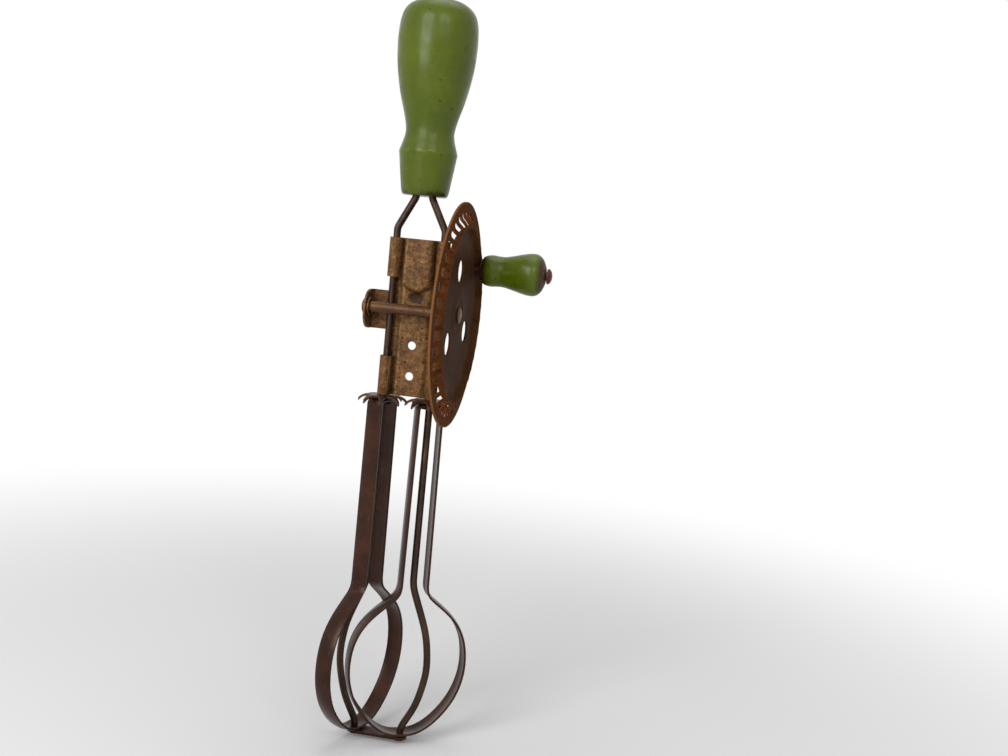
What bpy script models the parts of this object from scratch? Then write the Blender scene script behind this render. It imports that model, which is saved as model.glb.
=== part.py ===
"""Hand cranked rotary egg beater, built piece by piece.

Axes: +Z runs up the handle, +X points from the left rod to the crown wheel, and the drive axle
passes on the -Y side of the gear plate. The origin is on the handle's axis at its waist.
"""
import math

import bmesh
import bpy
from mathutils import Matrix, Quaternion, Vector

# Clearances and sheet
SEAT_GAP = 0.0003
CUT_OVERRUN = 0.002
SHEET = 0.0008
MERGE_DISTANCE = 0.000003

# Rods
ROD_DIAMETER = 0.0029
ROD_SPACING = 0.0192
ROD_SPLAY_SPACING = 0.0062
ROD_BEND_RADIUS = 0.005
ROD_IN_HANDLE = 0.0240
ROD_BOW = 0.0087
BOW_ABOVE_BULB = 0.0027
BOW_ABOVE_FOOT = 0.0016
ROD_HEAD_DIAMETER = 0.0044
ROD_HEAD_HEIGHT = 0.0008

# Handle, turned wood
HANDLE_TOP_Z = 0.0432
HANDLE_BOTTOM_Z = -0.0305
HANDLE_CROWN_DIAMETER = 0.0314
HANDLE_WAIST_DIAMETER = 0.0182
HANDLE_COLLAR_DIAMETER = 0.0230
HANDLE_FOOT_DIAMETER = 0.0196
HANDLE_FLAT_DIAMETER = 0.0080

# Gear plate, heights from the drive axle
AXLE_Z = -0.0750
AXLE_IN_FRONT = 0.0043
PLATE_TOP = 0.0278
PLATE_ABOVE_WINDOW = 0.0003
PANEL_WIDTH = 0.0096
PANEL_STEP_WIDTH = 0.0022
PANEL_RAISE = 0.0029
FLAT_RAISE = 0.0009
PANEL_END = 0.0086
PANEL_END_SAG = 0.0022
PANEL_END_FADE = 0.0018
BARREL_LENGTH = 0.0155
BARREL_TURN = math.radians(318.0)
PLATE_HOLE_DIAMETER = 0.0033
PLATE_HOLE_HEIGHTS = (-0.0142, -0.0265)
EAR_TOP = 0.0066
EAR_BOTTOM = -0.0088
EAR_BEND_RADIUS = 0.0014
EAR_REACH = 0.0086
LEFT_EAR_X = -0.0180
RIGHT_EAR_X = 0.0130
SPLAY_ABOVE_PLATE = 0.0038

# Drive axle and crown wheel
AXLE_DIAMETER = 0.0042
AXLE_HEAD_DIAMETER = 0.0062
AXLE_HEAD_HEIGHT = 0.0010
AXLE_WASHER_DIAMETER = 0.0072
AXLE_WASHER_THICKNESS = 0.0008
COLLAR_DIAMETER = 0.0076
WHEEL_DIAMETER = 0.0872
WHEEL_CREST_X = 0.0208
WHEEL_STEP = 0.0023
WHEEL_STEP_WIDTH = 0.0030
CREST_WIDTH = 0.0013
CREST_WALL_WIDTH = 0.0007
WHEEL_BOSS_RADIUS = 0.0075
WHEEL_LIP_WIDTH = 0.0039
WINDOW_COUNT = 40
WINDOW_LENGTH = 0.0049
WINDOW_IN_CREST = 0.0006
WINDOW_SHARE = 0.68
WHEEL_HOLE_COUNT = 3
WHEEL_HOLE_DIAMETER = 0.0092
WHEEL_HOLE_RING_SHARE = 0.518
WHEEL_HOLE_START = math.radians(-24.0)

# Crank knob on its stud
KNOB_INSIDE_DISC = 0.0021
KNOB_ANGLE = math.radians(35.0)
KNOB_LENGTH = 0.0256
KNOB_FULL_DIAMETER = 0.0172
KNOB_BORE = 0.0040
STUD_DIAMETER = 0.0032
STUD_HEAD_DIAMETER = 0.0063
STUD_HEAD_HEIGHT = 0.0020
STUD_NECK = 0.0007
STUD_BACK_HEAD_HEIGHT = 0.0009
KNOB_WASHER_DIAMETER = 0.0092
KNOB_WASHER_THICKNESS = 0.0007

# Pinions, one pronged star on each dasher
PRONG_COUNT = 8
PINION_THICKNESS = 0.0009
PINION_HUB_RADIUS = 0.0058
PINION_CURL_RADIUS = 0.0048
PINION_TIP_RADIUS = 0.0099
PRONG_ROOT_WIDTH = 0.0028
PRONG_TIP_WIDTH = 0.0014
PRONG_CURL = math.radians(52.0)
RIGHT_PINION_ANGLE = math.radians(12.15)

# Dashers, one crowned strip bent to a closed loop each
STRIP_WIDTH = 0.0073
STRIP_THICKNESS = 0.0009
STRIP_CROWN = 0.0005
NECK_TOP_RADIUS = 0.0052
NECK_FOOT_RADIUS = 0.0058
NECK_CORNER_RADIUS = 0.0020
NECK_LENGTH = 0.0768
BULB_RADIUS = 0.0243
BULB_HEIGHT = 0.0599
BULB_BLEND = 0.0035
RIGHT_DASHER_ANGLE = math.radians(27.5)
LEFT_DASHER_ANGLE = math.radians(69.5)
EYELET_WALL = 0.0005
EYELET_FLANGE_DIAMETER = 0.0076
EYELET_FLANGE_THICKNESS = 0.0006

# Tie strap under the dashers
STRAP_WIDTH = 0.0062
STRAP_THICKNESS = 0.0013

# Facets
ROUND_STEPS = 20
HANDLE_STEPS = 36
ROD_STEPS = 10
KNOB_STEPS = 24
PINION_STEPS = 32
CURL_STEPS = 12
BEND_STEPS = 4

# Places worked out from the sizes above
WINDOW_OUTER_RADIUS = WHEEL_DIAMETER / 2 - WHEEL_LIP_WIDTH
WINDOW_INNER_RADIUS = WINDOW_OUTER_RADIUS - WINDOW_LENGTH
CREST_RADIUS = WINDOW_INNER_RADIUS + WINDOW_IN_CREST
WHEEL_DISC_RADIUS = CREST_RADIUS - CREST_WIDTH - CREST_WALL_WIDTH
WHEEL_FACE_X = WHEEL_CREST_X - WHEEL_STEP
WHEEL_HOLE_RING = WHEEL_DISC_RADIUS * WHEEL_HOLE_RING_SHARE
KNOB_THROW = WHEEL_DISC_RADIUS - KNOB_INSIDE_DISC
PLATE_BOTTOM = PLATE_ABOVE_WINDOW - WINDOW_INNER_RADIUS
HALF_SPACING = ROD_SPACING / 2
BORE_RADIUS = ROD_DIAMETER / 2 + SEAT_GAP
AXLE_BORE_RADIUS = AXLE_DIAMETER / 2 + SEAT_GAP
BARREL_MID_RADIUS = BORE_RADIUS + SHEET / 2
PINION_Z = PLATE_BOTTOM - SEAT_GAP - PINION_THICKNESS / 2
LOOP_TOP_Z = PINION_Z - PINION_THICKNESS / 2 - SEAT_GAP - STRIP_THICKNESS / 2
BULB_TOP_Z = LOOP_TOP_Z - NECK_LENGTH
LOOP_FOOT_Z = BULB_TOP_Z - BULB_HEIGHT
BOW_TOP_Z = BULB_TOP_Z + BOW_ABOVE_BULB
BOW_FOOT_Z = LOOP_FOOT_Z + BOW_ABOVE_FOOT
STRAP_TOP_Z = LOOP_FOOT_Z - STRIP_THICKNESS / 2 - SEAT_GAP
STRAP_FOOT_Z = STRAP_TOP_Z - STRAP_THICKNESS
EYELET_RADIUS = BORE_RADIUS + EYELET_WALL
WHEEL_BACK_X = WHEEL_FACE_X - SHEET
PRONG_PITCH = 2 * math.pi / PRONG_COUNT

COLOURS = {
    "green_paint": ((0.125, 0.150, 0.012), 0.28, 0.0),
    "knob_paint": ((0.120, 0.130, 0.012), 0.32, 0.0),
    "rusty_plate": ((0.190, 0.085, 0.022), 0.60, 0.7),
    "rusty_wheel": ((0.065, 0.026, 0.013), 0.50, 0.8),
    "dasher_steel": ((0.075, 0.032, 0.014), 0.40, 0.8),
    "dark_rod": ((0.040, 0.026, 0.018), 0.50, 0.8),
    "rivet_steel": ((0.090, 0.030, 0.015), 0.45, 0.8),
}


def clear_scene():
    for old in list(bpy.data.objects):
        bpy.data.objects.remove(old, do_unlink=True)


def make_material(name):
    """A Principled material in the colour, roughness and metallic value listed above."""
    colour, roughness, metallic = COLOURS[name]
    material = bpy.data.materials.get(name) or bpy.data.materials.new(name)
    material.use_nodes = True
    shader = material.node_tree.nodes["Principled BSDF"]
    shader.inputs["Base Color"].default_value = (*colour, 1.0)
    shader.inputs["Roughness"].default_value = roughness
    shader.inputs["Metallic"].default_value = metallic
    return material


def add_object(name, mesh_data, material_name, place=(0.0, 0.0, 0.0), turn=(0.0, 0.0, 0.0)):
    """Turn a bmesh into a named object, facing out, at its place."""
    bmesh.ops.recalc_face_normals(mesh_data, faces=mesh_data.faces)
    mesh = bpy.data.meshes.new(name)
    mesh_data.to_mesh(mesh)
    mesh_data.free()
    thing = bpy.data.objects.new(name, mesh)
    thing.location = place
    thing.rotation_euler = turn
    bpy.context.collection.objects.link(thing)
    mesh.materials.append(make_material(material_name))
    return thing


def shade_smooth(thing, angle=math.radians(35.0)):
    mesh = thing.data
    mesh.shade_smooth()
    mesh.set_sharp_from_angle(angle=angle)


def cut(thing, cutter, operation="DIFFERENCE"):
    """Cut one object by another that stays hidden as a guide."""
    cutter.hide_render = True
    cutter.display_type = "WIRE"
    modifier = thing.modifiers.new("cut_by_" + cutter.name, "BOOLEAN")
    modifier.operation = operation
    modifier.object = cutter


def apply_modifiers(thing):
    """Bake the modifiers into the mesh and drop the guides that cut it."""
    guides = [m.object for m in thing.modifiers if m.type == "BOOLEAN"]
    graph = bpy.context.evaluated_depsgraph_get()
    baked = bpy.data.meshes.new_from_object(thing.evaluated_get(graph))
    thing.modifiers.clear()
    thing.data = baked
    for guide in guides:
        bpy.data.objects.remove(guide, do_unlink=True)


def revolve(profile, steps):
    """Revolve (radius, height) points about Z; a closed ring when no point is on the axis."""
    mesh = bmesh.new()
    points = [mesh.verts.new((radius, 0.0, height)) for radius, height in profile]
    edges = [mesh.edges.new(pair) for pair in zip(points, points[1:])]
    open_ends = min(radius for radius, _ in profile) > 0.0
    if open_ends:
        edges.append(mesh.edges.new((points[-1], points[0])))
    bmesh.ops.spin(
        mesh, geom=points + edges, cent=(0.0, 0.0, 0.0), axis=(0.0, 0.0, 1.0),
        angle=2 * math.pi, steps=steps, use_merge=True,
    )
    bmesh.ops.remove_doubles(mesh, verts=mesh.verts, dist=MERGE_DISTANCE)
    return mesh


def turned(name, profile, material_name, place, steps=ROUND_STEPS, turn=(0.0, 0.0, 0.0)):
    thing = add_object(name, revolve(profile, steps), material_name, place, turn)
    shade_smooth(thing)
    return thing


def ring_profile(inner, outer, low, high):
    return [(inner, low), (outer, low), (outer, high), (inner, high)]


def cylinder_cutter(radius, low, high, place, turn=(0.0, 0.0, 0.0), steps=ROUND_STEPS):
    profile = [(0.0, low), (radius, low), (radius, high), (0.0, high)]
    return add_object("guide_cylinder", revolve(profile, steps), "dark_rod", place, turn)


def smooth_points(points, per_span):
    """A Catmull-Rom curve through hand placed points."""
    ends = [points[0]] + list(points) + [points[-1]]
    curve = []
    for before, start, end, after in zip(ends, ends[1:], ends[2:], ends[3:]):
        for step in range(per_span):
            t = step / per_span
            curve.append(tuple(
                0.5 * (2 * b + (c - a) * t + (2 * a - 5 * b + 4 * c - d) * t * t
                       + (3 * b - a - 3 * c + d) * t ** 3)
                for a, b, c, d in zip(before, start, end, after)
            ))
    curve.append(tuple(points[-1]))
    return curve


def rounded_path(corners, radius):
    """A flat polyline with every inner corner rounded by an arc."""
    path = [Vector(corners[0])]
    for before, corner, after in zip(corners, corners[1:], corners[2:]):
        middle = Vector(corner)
        back = (Vector(before) - middle).normalized()
        ahead = (Vector(after) - middle).normalized()
        half = back.angle(ahead) / 2
        setback = radius / math.tan(half)
        centre = middle + (back + ahead).normalized() * radius / math.sin(half)
        first = middle + back * setback - centre
        last = middle + ahead * setback - centre
        turn = first.rotation_difference(last)
        for step in range(BEND_STEPS + 1):
            part_turn = Quaternion(turn.axis, turn.angle * step / BEND_STEPS)
            path.append(centre + part_turn @ first)
    path.append(Vector(corners[-1]))
    return path


def bridge_rings(mesh, rings, closed):
    pairs = list(zip(rings, rings[1:]))
    if closed:
        pairs.append((rings[-1], rings[0]))
    for first, second in pairs:
        count = len(first)
        for i in range(count):
            j = (i + 1) % count
            mesh.faces.new((first[i], first[j], second[j], second[i]))
    if not closed:
        mesh.faces.new(rings[0][::-1])
        mesh.faces.new(rings[-1])


def path_direction(path, index, closed):
    """The direction of a flat X-Z path at one of its points."""
    if closed:
        return (path[(index + 1) % len(path)] - path[index - 1]).normalized()
    after = path[min(index + 1, len(path) - 1)]
    before = path[max(index - 1, 0)]
    return (after - before).normalized()


def sweep(path, section, closed=False):
    """Sweep a section of (outward, across) points along a path in the X-Z plane."""
    mesh = bmesh.new()
    across = Vector((0.0, 1.0, 0.0))
    rings = []
    for index, centre in enumerate(path):
        outward = path_direction(path, index, closed).cross(across)
        rings.append([
            mesh.verts.new(centre + outward * out + across * side) for out, side in section
        ])
    bridge_rings(mesh, rings, closed)
    return mesh


def circle_section(radius, steps):
    angles = [2 * math.pi * i / steps for i in range(steps)]
    return [(radius * math.cos(a), radius * math.sin(a)) for a in angles]


def handle_profile():
    """The turned outline, from shares of the heights and diameters it runs between."""
    crown = HANDLE_CROWN_DIAMETER / 2
    waist = HANDLE_WAIST_DIAMETER / 2
    collar = HANDLE_COLLAR_DIAMETER / 2
    foot = HANDLE_FOOT_DIAMETER / 2
    upper_shares = [
        (0.42, 0.985), (0.68, 0.955), (0.86, 0.895), (0.965, 0.80), (1.0, 0.68),
        (0.985, 0.54), (0.91, 0.40), (0.78, 0.27), (0.665, 0.14),
    ]
    upper = [(crown * r, HANDLE_TOP_Z * z) for r, z in upper_shares]
    collar_shares = [(0.86, 0.27), (0.98, 0.36), (1.0, 0.46), (0.965, 0.62)]
    lower = [(collar * r, HANDLE_BOTTOM_Z * z) for r, z in collar_shares]
    foot_shares = [(1.0, 0.90), (0.93, 0.975)]
    base = [(foot * r, HANDLE_BOTTOM_Z * z) for r, z in foot_shares]
    flat = (HANDLE_FLAT_DIAMETER / 2, HANDLE_TOP_Z)
    side = smooth_points([flat] + upper + [(waist, 0.0)] + lower + base, 2)
    foot_share = 0.72
    return [(0.0, HANDLE_TOP_Z)] + side + [(foot * foot_share, HANDLE_BOTTOM_Z),
                                           (0.0, HANDLE_BOTTOM_Z)]


def build_handle():
    handle = turned("handle", handle_profile(), "green_paint", (0.0, 0.0, 0.0), HANDLE_STEPS)
    top = HANDLE_BOTTOM_Z + ROD_IN_HANDLE + SEAT_GAP
    for side in (-1, 1):
        place = (side * ROD_SPLAY_SPACING / 2, 0.0, 0.0)
        bore = cylinder_cutter(BORE_RADIUS, HANDLE_BOTTOM_Z - CUT_OVERRUN, top, place)
        cut(handle, bore)
    return handle


def rod_bow():
    """The rod's bow, which lets the other dasher's bulb pass: offset out and height."""
    shares = [
        (0.0, 0.0), (0.03, 0.06), (0.265, 0.69), (0.395, 0.91), (0.55, 1.0), (0.685, 0.87),
        (0.83, 0.58), (1.0, 0.0),
    ]
    height = BOW_TOP_Z - BOW_FOOT_Z
    return smooth_points([(ROD_BOW * out, BOW_TOP_Z - height * down) for down, out in shares], 3)


def rod_path():
    """One rod's centre line in axle heights, with +X outward."""
    entry = HANDLE_BOTTOM_Z - AXLE_Z
    splay_top = entry - SEAT_GAP
    splay_foot = PLATE_TOP + SPLAY_ABOVE_PLATE
    corners = [
        (ROD_SPLAY_SPACING / 2, 0.0, entry + ROD_IN_HANDLE),
        (ROD_SPLAY_SPACING / 2, 0.0, splay_top),
        (HALF_SPACING, 0.0, splay_foot),
        (HALF_SPACING, 0.0, BOW_TOP_Z),
    ]
    path = rounded_path(corners, ROD_BEND_RADIUS)
    path += [Vector((HALF_SPACING + out, 0.0, height)) for out, height in rod_bow()[1:]]
    foot = STRAP_FOOT_Z - SEAT_GAP - ROD_HEAD_HEIGHT / 2
    path.append(Vector((HALF_SPACING, 0.0, foot)))
    return path


def build_rod(name, side):
    """A frame rod: axle of its dasher below, tang in the handle above."""
    path = rod_path()
    if side < 0:
        path = [Vector((-point.x, point.y, point.z)) for point in path]
    rod = add_object(name, sweep(path, circle_section(ROD_DIAMETER / 2, ROD_STEPS)),
                     "dark_rod", (0.0, 0.0, AXLE_Z))
    head_top = STRAP_FOOT_Z - SEAT_GAP
    head_profile = [
        (0.0, head_top), (ROD_HEAD_DIAMETER / 2, head_top),
        (ROD_HEAD_DIAMETER / 2, head_top - ROD_HEAD_HEIGHT / 2),
        (ROD_DIAMETER / 2, head_top - ROD_HEAD_HEIGHT),
        (0.0, head_top - ROD_HEAD_HEIGHT),
    ]
    head = add_object("guide_head", revolve(head_profile, ROD_STEPS), "dark_rod",
                      (side * HALF_SPACING, 0.0, AXLE_Z))
    cut(rod, head, "UNION")
    apply_modifiers(rod)
    shade_smooth(rod)
    return rod


def smooth_step(value):
    value = min(max(value, 0.0), 1.0)
    return value * value * (3 - 2 * value)


def plate_depth(x, z):
    """The sheet's middle surface in Y: back at the rods, raised panel above, flat below."""
    across = smooth_step((PANEL_WIDTH / 2 + PANEL_STEP_WIDTH - abs(x)) / PANEL_STEP_WIDTH)
    reach = max(1 - (2 * x / PANEL_WIDTH) ** 2, 0.0)
    end = PANEL_END - PANEL_END_SAG * reach
    upper = smooth_step((z - end) / PANEL_END_FADE)
    raised = FLAT_RAISE + (PANEL_RAISE - FLAT_RAISE) * upper
    return BARREL_MID_RADIUS - raised * across


def plate_rows():
    """Row heights: the ends of barrels and ears, and enough rows to bend the panel's foot."""
    fade_shares = (0.0, 0.75, 1.5, 2.25)
    fade_rows = [PANEL_END - PANEL_END_SAG + PANEL_END_FADE * share for share in fade_shares]
    ear_middle = (EAR_TOP + EAR_BOTTOM) / 2
    rows = [
        PLATE_BOTTOM, PLATE_BOTTOM + BARREL_LENGTH, EAR_BOTTOM, ear_middle,
        (EAR_TOP + ear_middle) / 2, (EAR_BOTTOM + ear_middle) / 2,
        PLATE_TOP - BARREL_LENGTH, PLATE_TOP, EAR_TOP,
    ]
    kept = [row for row in fade_rows if abs(row - EAR_TOP) > SEAT_GAP]
    return sorted(rows + kept)


def plate_columns():
    step_out = PANEL_WIDTH / 2 + PANEL_STEP_WIDTH
    half = [
        HALF_SPACING, step_out, step_out - PANEL_STEP_WIDTH / 3,
        step_out - 2 * PANEL_STEP_WIDTH / 3, PANEL_WIDTH / 2, PANEL_WIDTH / 4,
    ]
    return [-x for x in half] + [0.0] + half[::-1]


def curl_points(side):
    """The barrel's curl about a rod, from the back of the rod round its outer side."""
    centre = side * HALF_SPACING
    for step in range(1, CURL_STEPS + 1):
        angle = math.pi / 2 - side * BARREL_TURN * step / CURL_STEPS
        yield (centre + BARREL_MID_RADIUS * math.cos(angle), BARREL_MID_RADIUS * math.sin(angle))


def ear_points(side, wall_x):
    """The ear's run in plan: behind the rod, round the bend and forward, with its height share."""
    back = BARREL_MID_RADIUS
    bend_start = wall_x - side * EAR_BEND_RADIUS
    yield (bend_start, back, 1.0)
    for step in range(1, BEND_STEPS + 1):
        angle = math.pi / 2 * step / BEND_STEPS
        x = bend_start + side * EAR_BEND_RADIUS * math.sin(angle)
        yield (x, back - EAR_BEND_RADIUS * (1 - math.cos(angle)), 1.0)
    wall_start = back - EAR_BEND_RADIUS
    reach_shares = (0.25, 0.45, 0.62, 0.77, 0.88, 0.95, 0.985)
    for share in reach_shares:
        y = wall_start - (EAR_REACH + wall_start) * share
        yield (wall_x, y, math.sqrt(1 - share ** 3))


def grow_rows(mesh, start_rows, points_for_row):
    """Extend a sheet from a column of vertices, one new column per point."""
    columns = [start_rows]
    for column in points_for_row:
        columns.append([mesh.verts.new(point) for point in column])
    for first, second in zip(columns, columns[1:]):
        for low in range(len(first) - 1):
            mesh.faces.new((first[low], first[low + 1], second[low + 1], second[low]))


def build_plate():
    """The stamped plate: raised panel, four barrels curled on the rods, two bearing ears."""
    mesh = bmesh.new()
    rows = plate_rows()
    columns = plate_columns()
    grid = [[mesh.verts.new((x, plate_depth(x, z), z)) for z in rows] for x in columns]
    for left, right in zip(grid, grid[1:]):
        for low in range(len(rows) - 1):
            mesh.faces.new((left[low], left[low + 1], right[low + 1], right[low]))
    barrel_spans = ((PLATE_BOTTOM, PLATE_BOTTOM + BARREL_LENGTH),
                    (PLATE_TOP - BARREL_LENGTH, PLATE_TOP))
    ear_middle = (EAR_TOP + EAR_BOTTOM) / 2
    for side, edge, wall_x in ((-1, grid[0], LEFT_EAR_X), (1, grid[-1], RIGHT_EAR_X)):
        for low, high in barrel_spans:
            picked = [v for v, z in zip(edge, rows) if low <= z <= high]
            curl = [[(x, y, v.co.z) for v in picked] for x, y in curl_points(side)]
            grow_rows(mesh, picked, curl)
        picked = [v for v, z in zip(edge, rows) if EAR_BOTTOM <= z <= EAR_TOP]
        ear = [
            [(x, y, ear_middle + (v.co.z - ear_middle) * share) for v in picked]
            for x, y, share in ear_points(side, wall_x)
        ]
        grow_rows(mesh, picked, ear)
    plate = add_object("gear_plate", mesh, "rusty_plate", (0.0, 0.0, AXLE_Z))
    solid = plate.modifiers.new("sheet", "SOLIDIFY")
    solid.thickness = SHEET
    solid.offset = 0.0
    solid.use_even_offset = True
    quarter = math.pi / 2
    for height in PLATE_HOLE_HEIGHTS:
        hole = cylinder_cutter(PLATE_HOLE_DIAMETER / 2, -BARREL_MID_RADIUS * 2,
                               BARREL_MID_RADIUS * 2, (0.0, 0.0, AXLE_Z + height),
                               (quarter, 0.0, 0.0), ROD_STEPS)
        cut(plate, hole)
    axle_place = (0.0, -AXLE_IN_FRONT, AXLE_Z)
    cut(plate, cylinder_cutter(AXLE_BORE_RADIUS, LEFT_EAR_X - CUT_OVERRUN,
                               RIGHT_EAR_X + CUT_OVERRUN, axle_place, (0.0, quarter, 0.0)))
    apply_modifiers(plate)
    shade_smooth(plate)
    return plate


def window_angles():
    """Column angles of the wheel: both sides of every window."""
    pitch = 2 * math.pi / WINDOW_COUNT
    half = pitch / 2 * WINDOW_SHARE
    angles = []
    for index in range(WINDOW_COUNT):
        middle = index * pitch
        angles += [middle - half, middle + half]
    return angles


def wheel_rings():
    """Ring radii with the sheet's outer face there, measured out from the disc."""
    step_outer = CREST_RADIUS + WHEEL_STEP_WIDTH
    return [
        (AXLE_BORE_RADIUS, 0.0), (WHEEL_BOSS_RADIUS, 0.0), (WHEEL_DISC_RADIUS, 0.0),
        (CREST_RADIUS - CREST_WIDTH, WHEEL_STEP), (WINDOW_INNER_RADIUS, WHEEL_STEP),
        (CREST_RADIUS, WHEEL_STEP), (step_outer, 0.0), (WINDOW_OUTER_RADIUS, 0.0),
        (WHEEL_DIAMETER / 2, 0.0),
    ]


def build_wheel():
    """The crown wheel: a flat disc, a raised crest, a sloping band of windows and a flat lip."""
    mesh = bmesh.new()
    angles = window_angles()
    rings = []
    for radius, out in wheel_rings():
        rings.append([
            mesh.verts.new((out, radius * math.sin(a), -radius * math.cos(a))) for a in angles
        ])
    radii = [radius for radius, _ in wheel_rings()]
    for ring in range(len(rings) - 1):
        in_window = radii[ring] >= WINDOW_INNER_RADIUS and radii[ring + 1] <= WINDOW_OUTER_RADIUS
        for i in range(len(angles)):
            if in_window and i % 2 == 0:
                continue
            j = (i + 1) % len(angles)
            mesh.faces.new((rings[ring][i], rings[ring][j], rings[ring + 1][j],
                            rings[ring + 1][i]))
    place = (WHEEL_FACE_X, -AXLE_IN_FRONT, AXLE_Z)
    wheel = add_object("drive_wheel", mesh, "rusty_wheel", place)
    outward = sum(face.normal.x for face in wheel.data.polygons) > 0.0
    solid = wheel.modifiers.new("sheet", "SOLIDIFY")
    solid.thickness = SHEET
    solid.offset = -1.0 if outward else 1.0
    solid.use_even_offset = True
    quarter = math.pi / 2
    for index in range(WHEEL_HOLE_COUNT):
        angle = WHEEL_HOLE_START + 2 * math.pi * index / WHEEL_HOLE_COUNT
        hole_place = (WHEEL_FACE_X, WHEEL_HOLE_RING * math.cos(angle) - AXLE_IN_FRONT,
                      WHEEL_HOLE_RING * math.sin(angle) + AXLE_Z)
        cut(wheel, cylinder_cutter(WHEEL_HOLE_DIAMETER / 2, -CUT_OVERRUN, CUT_OVERRUN,
                                   hole_place, (0.0, quarter, 0.0)))
    cut(wheel, cylinder_cutter(STUD_DIAMETER / 2 + SEAT_GAP, -CUT_OVERRUN, CUT_OVERRUN,
                               knob_place(WHEEL_FACE_X), (0.0, quarter, 0.0)))
    apply_modifiers(wheel)
    shade_smooth(wheel)
    return wheel


def knob_place(x):
    """A point on the knob's stud axis."""
    return (x, KNOB_THROW * math.cos(KNOB_ANGLE) - AXLE_IN_FRONT,
            KNOB_THROW * math.sin(KNOB_ANGLE) + AXLE_Z)


def dome(radius, base, height, steps=4):
    """A domed head's outline, from its rim at the base to the axis."""
    angles = [math.pi / 2 * i / steps for i in range(steps + 1)]
    return [(radius * math.cos(a) if i < steps else 0.0, base + height * math.sin(a))
            for i, a in enumerate(angles)]


def build_axle():
    """The axle turns in both ears; its right head is riveted over the wheel."""
    left_end = LEFT_EAR_X - SHEET / 2 - SEAT_GAP
    right_end = WHEEL_FACE_X + SEAT_GAP
    shaft = AXLE_DIAMETER / 2
    head = AXLE_HEAD_DIAMETER / 2
    profile = [
        (0.0, left_end - AXLE_HEAD_HEIGHT), (shaft, left_end - AXLE_HEAD_HEIGHT),
        (head, left_end - AXLE_HEAD_HEIGHT / 2), (head, left_end), (shaft, left_end),
        (shaft, right_end),
    ] + dome(head, right_end, AXLE_HEAD_HEIGHT)
    turned("drive_axle", profile, "rusty_plate", (0.0, -AXLE_IN_FRONT, AXLE_Z),
           turn=(0.0, math.pi / 2, 0.0))


def build_axle_rings():
    """A washer inside the left ear and the collar that spaces the wheel off the right ear."""
    axle_place = (0.0, -AXLE_IN_FRONT, AXLE_Z)
    quarter_turn = (0.0, math.pi / 2, 0.0)
    washer_low = LEFT_EAR_X + SHEET / 2 + SEAT_GAP
    turned("axle_washer", ring_profile(AXLE_BORE_RADIUS, AXLE_WASHER_DIAMETER / 2, washer_low,
                                       washer_low + AXLE_WASHER_THICKNESS),
           "rusty_plate", axle_place, turn=quarter_turn)
    low = RIGHT_EAR_X + SHEET / 2 + SEAT_GAP
    high = WHEEL_BACK_X - SEAT_GAP
    turned("wheel_collar", ring_profile(AXLE_BORE_RADIUS, COLLAR_DIAMETER / 2, low, high),
           "rusty_wheel", axle_place, turn=quarter_turn)


def knob_profile():
    """The turned knob's outline along its own axis, from shares of its length and radius."""
    radius = KNOB_FULL_DIAMETER / 2
    shares = [
        (0.0, 0.62), (0.05, 0.70), (0.14, 0.745), (0.24, 0.72), (0.34, 0.72), (0.47, 0.80),
        (0.62, 0.92), (0.76, 0.995), (0.86, 0.97), (0.935, 0.80), (0.98, 0.55), (1.0, 0.38),
    ]
    side = smooth_points([(radius * r, KNOB_LENGTH * z) for z, r in shares], 2)
    bore = KNOB_BORE / 2
    return [(bore, 0.0)] + side + [(bore, KNOB_LENGTH)]


def build_knob():
    """The knob with its washer, loose on a stud riveted through the wheel."""
    quarter_turn = (0.0, math.pi / 2, 0.0)
    washer_low = WHEEL_CREST_X + SEAT_GAP
    knob_low = washer_low + KNOB_WASHER_THICKNESS + SEAT_GAP
    turned("knob_washer", ring_profile(KNOB_BORE / 2, KNOB_WASHER_DIAMETER / 2, 0.0,
                                       KNOB_WASHER_THICKNESS),
           "rivet_steel", knob_place(washer_low), turn=quarter_turn)
    turned("crank_knob", knob_profile(), "knob_paint", knob_place(knob_low), KNOB_STEPS,
           quarter_turn)
    shank = STUD_DIAMETER / 2
    back_head = WHEEL_BACK_X - SEAT_GAP - WHEEL_FACE_X
    head_base = knob_low + KNOB_LENGTH + STUD_NECK - WHEEL_FACE_X
    head = STUD_HEAD_DIAMETER / 2
    profile = [
        (0.0, back_head - STUD_BACK_HEAD_HEIGHT), (shank, back_head - STUD_BACK_HEAD_HEIGHT),
        (head, back_head - STUD_BACK_HEAD_HEIGHT / 2), (head, back_head), (shank, back_head),
        (shank, head_base),
    ] + dome(head, head_base, STUD_HEAD_HEIGHT)
    turned("knob_stud", profile, "rivet_steel", knob_place(WHEEL_FACE_X), turn=quarter_turn)


def pinion_dome_profile():
    """The pinion's closed section: flat hub, then a curl outward and down, then the tip."""
    half = PINION_THICKNESS / 2
    middle = [(EYELET_RADIUS + SEAT_GAP, 0.0, 0.0), (PINION_HUB_RADIUS, 0.0, 0.0)]
    for step in range(1, BEND_STEPS + 1):
        angle = PRONG_CURL * step / BEND_STEPS
        middle.append((PINION_HUB_RADIUS + PINION_CURL_RADIUS * math.sin(angle),
                       -PINION_CURL_RADIUS * (1 - math.cos(angle)), angle))
    radius, height, angle = middle[-1]
    run = PINION_TIP_RADIUS + PINION_THICKNESS - radius
    middle.append((radius + run, height - run * math.tan(angle), angle))
    upper = [(r + half * math.sin(a), z + half * math.cos(a)) for r, z, a in middle]
    lower = [(r - half * math.sin(a), z - half * math.cos(a)) for r, z, a in middle]
    return upper + lower[::-1]


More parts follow.
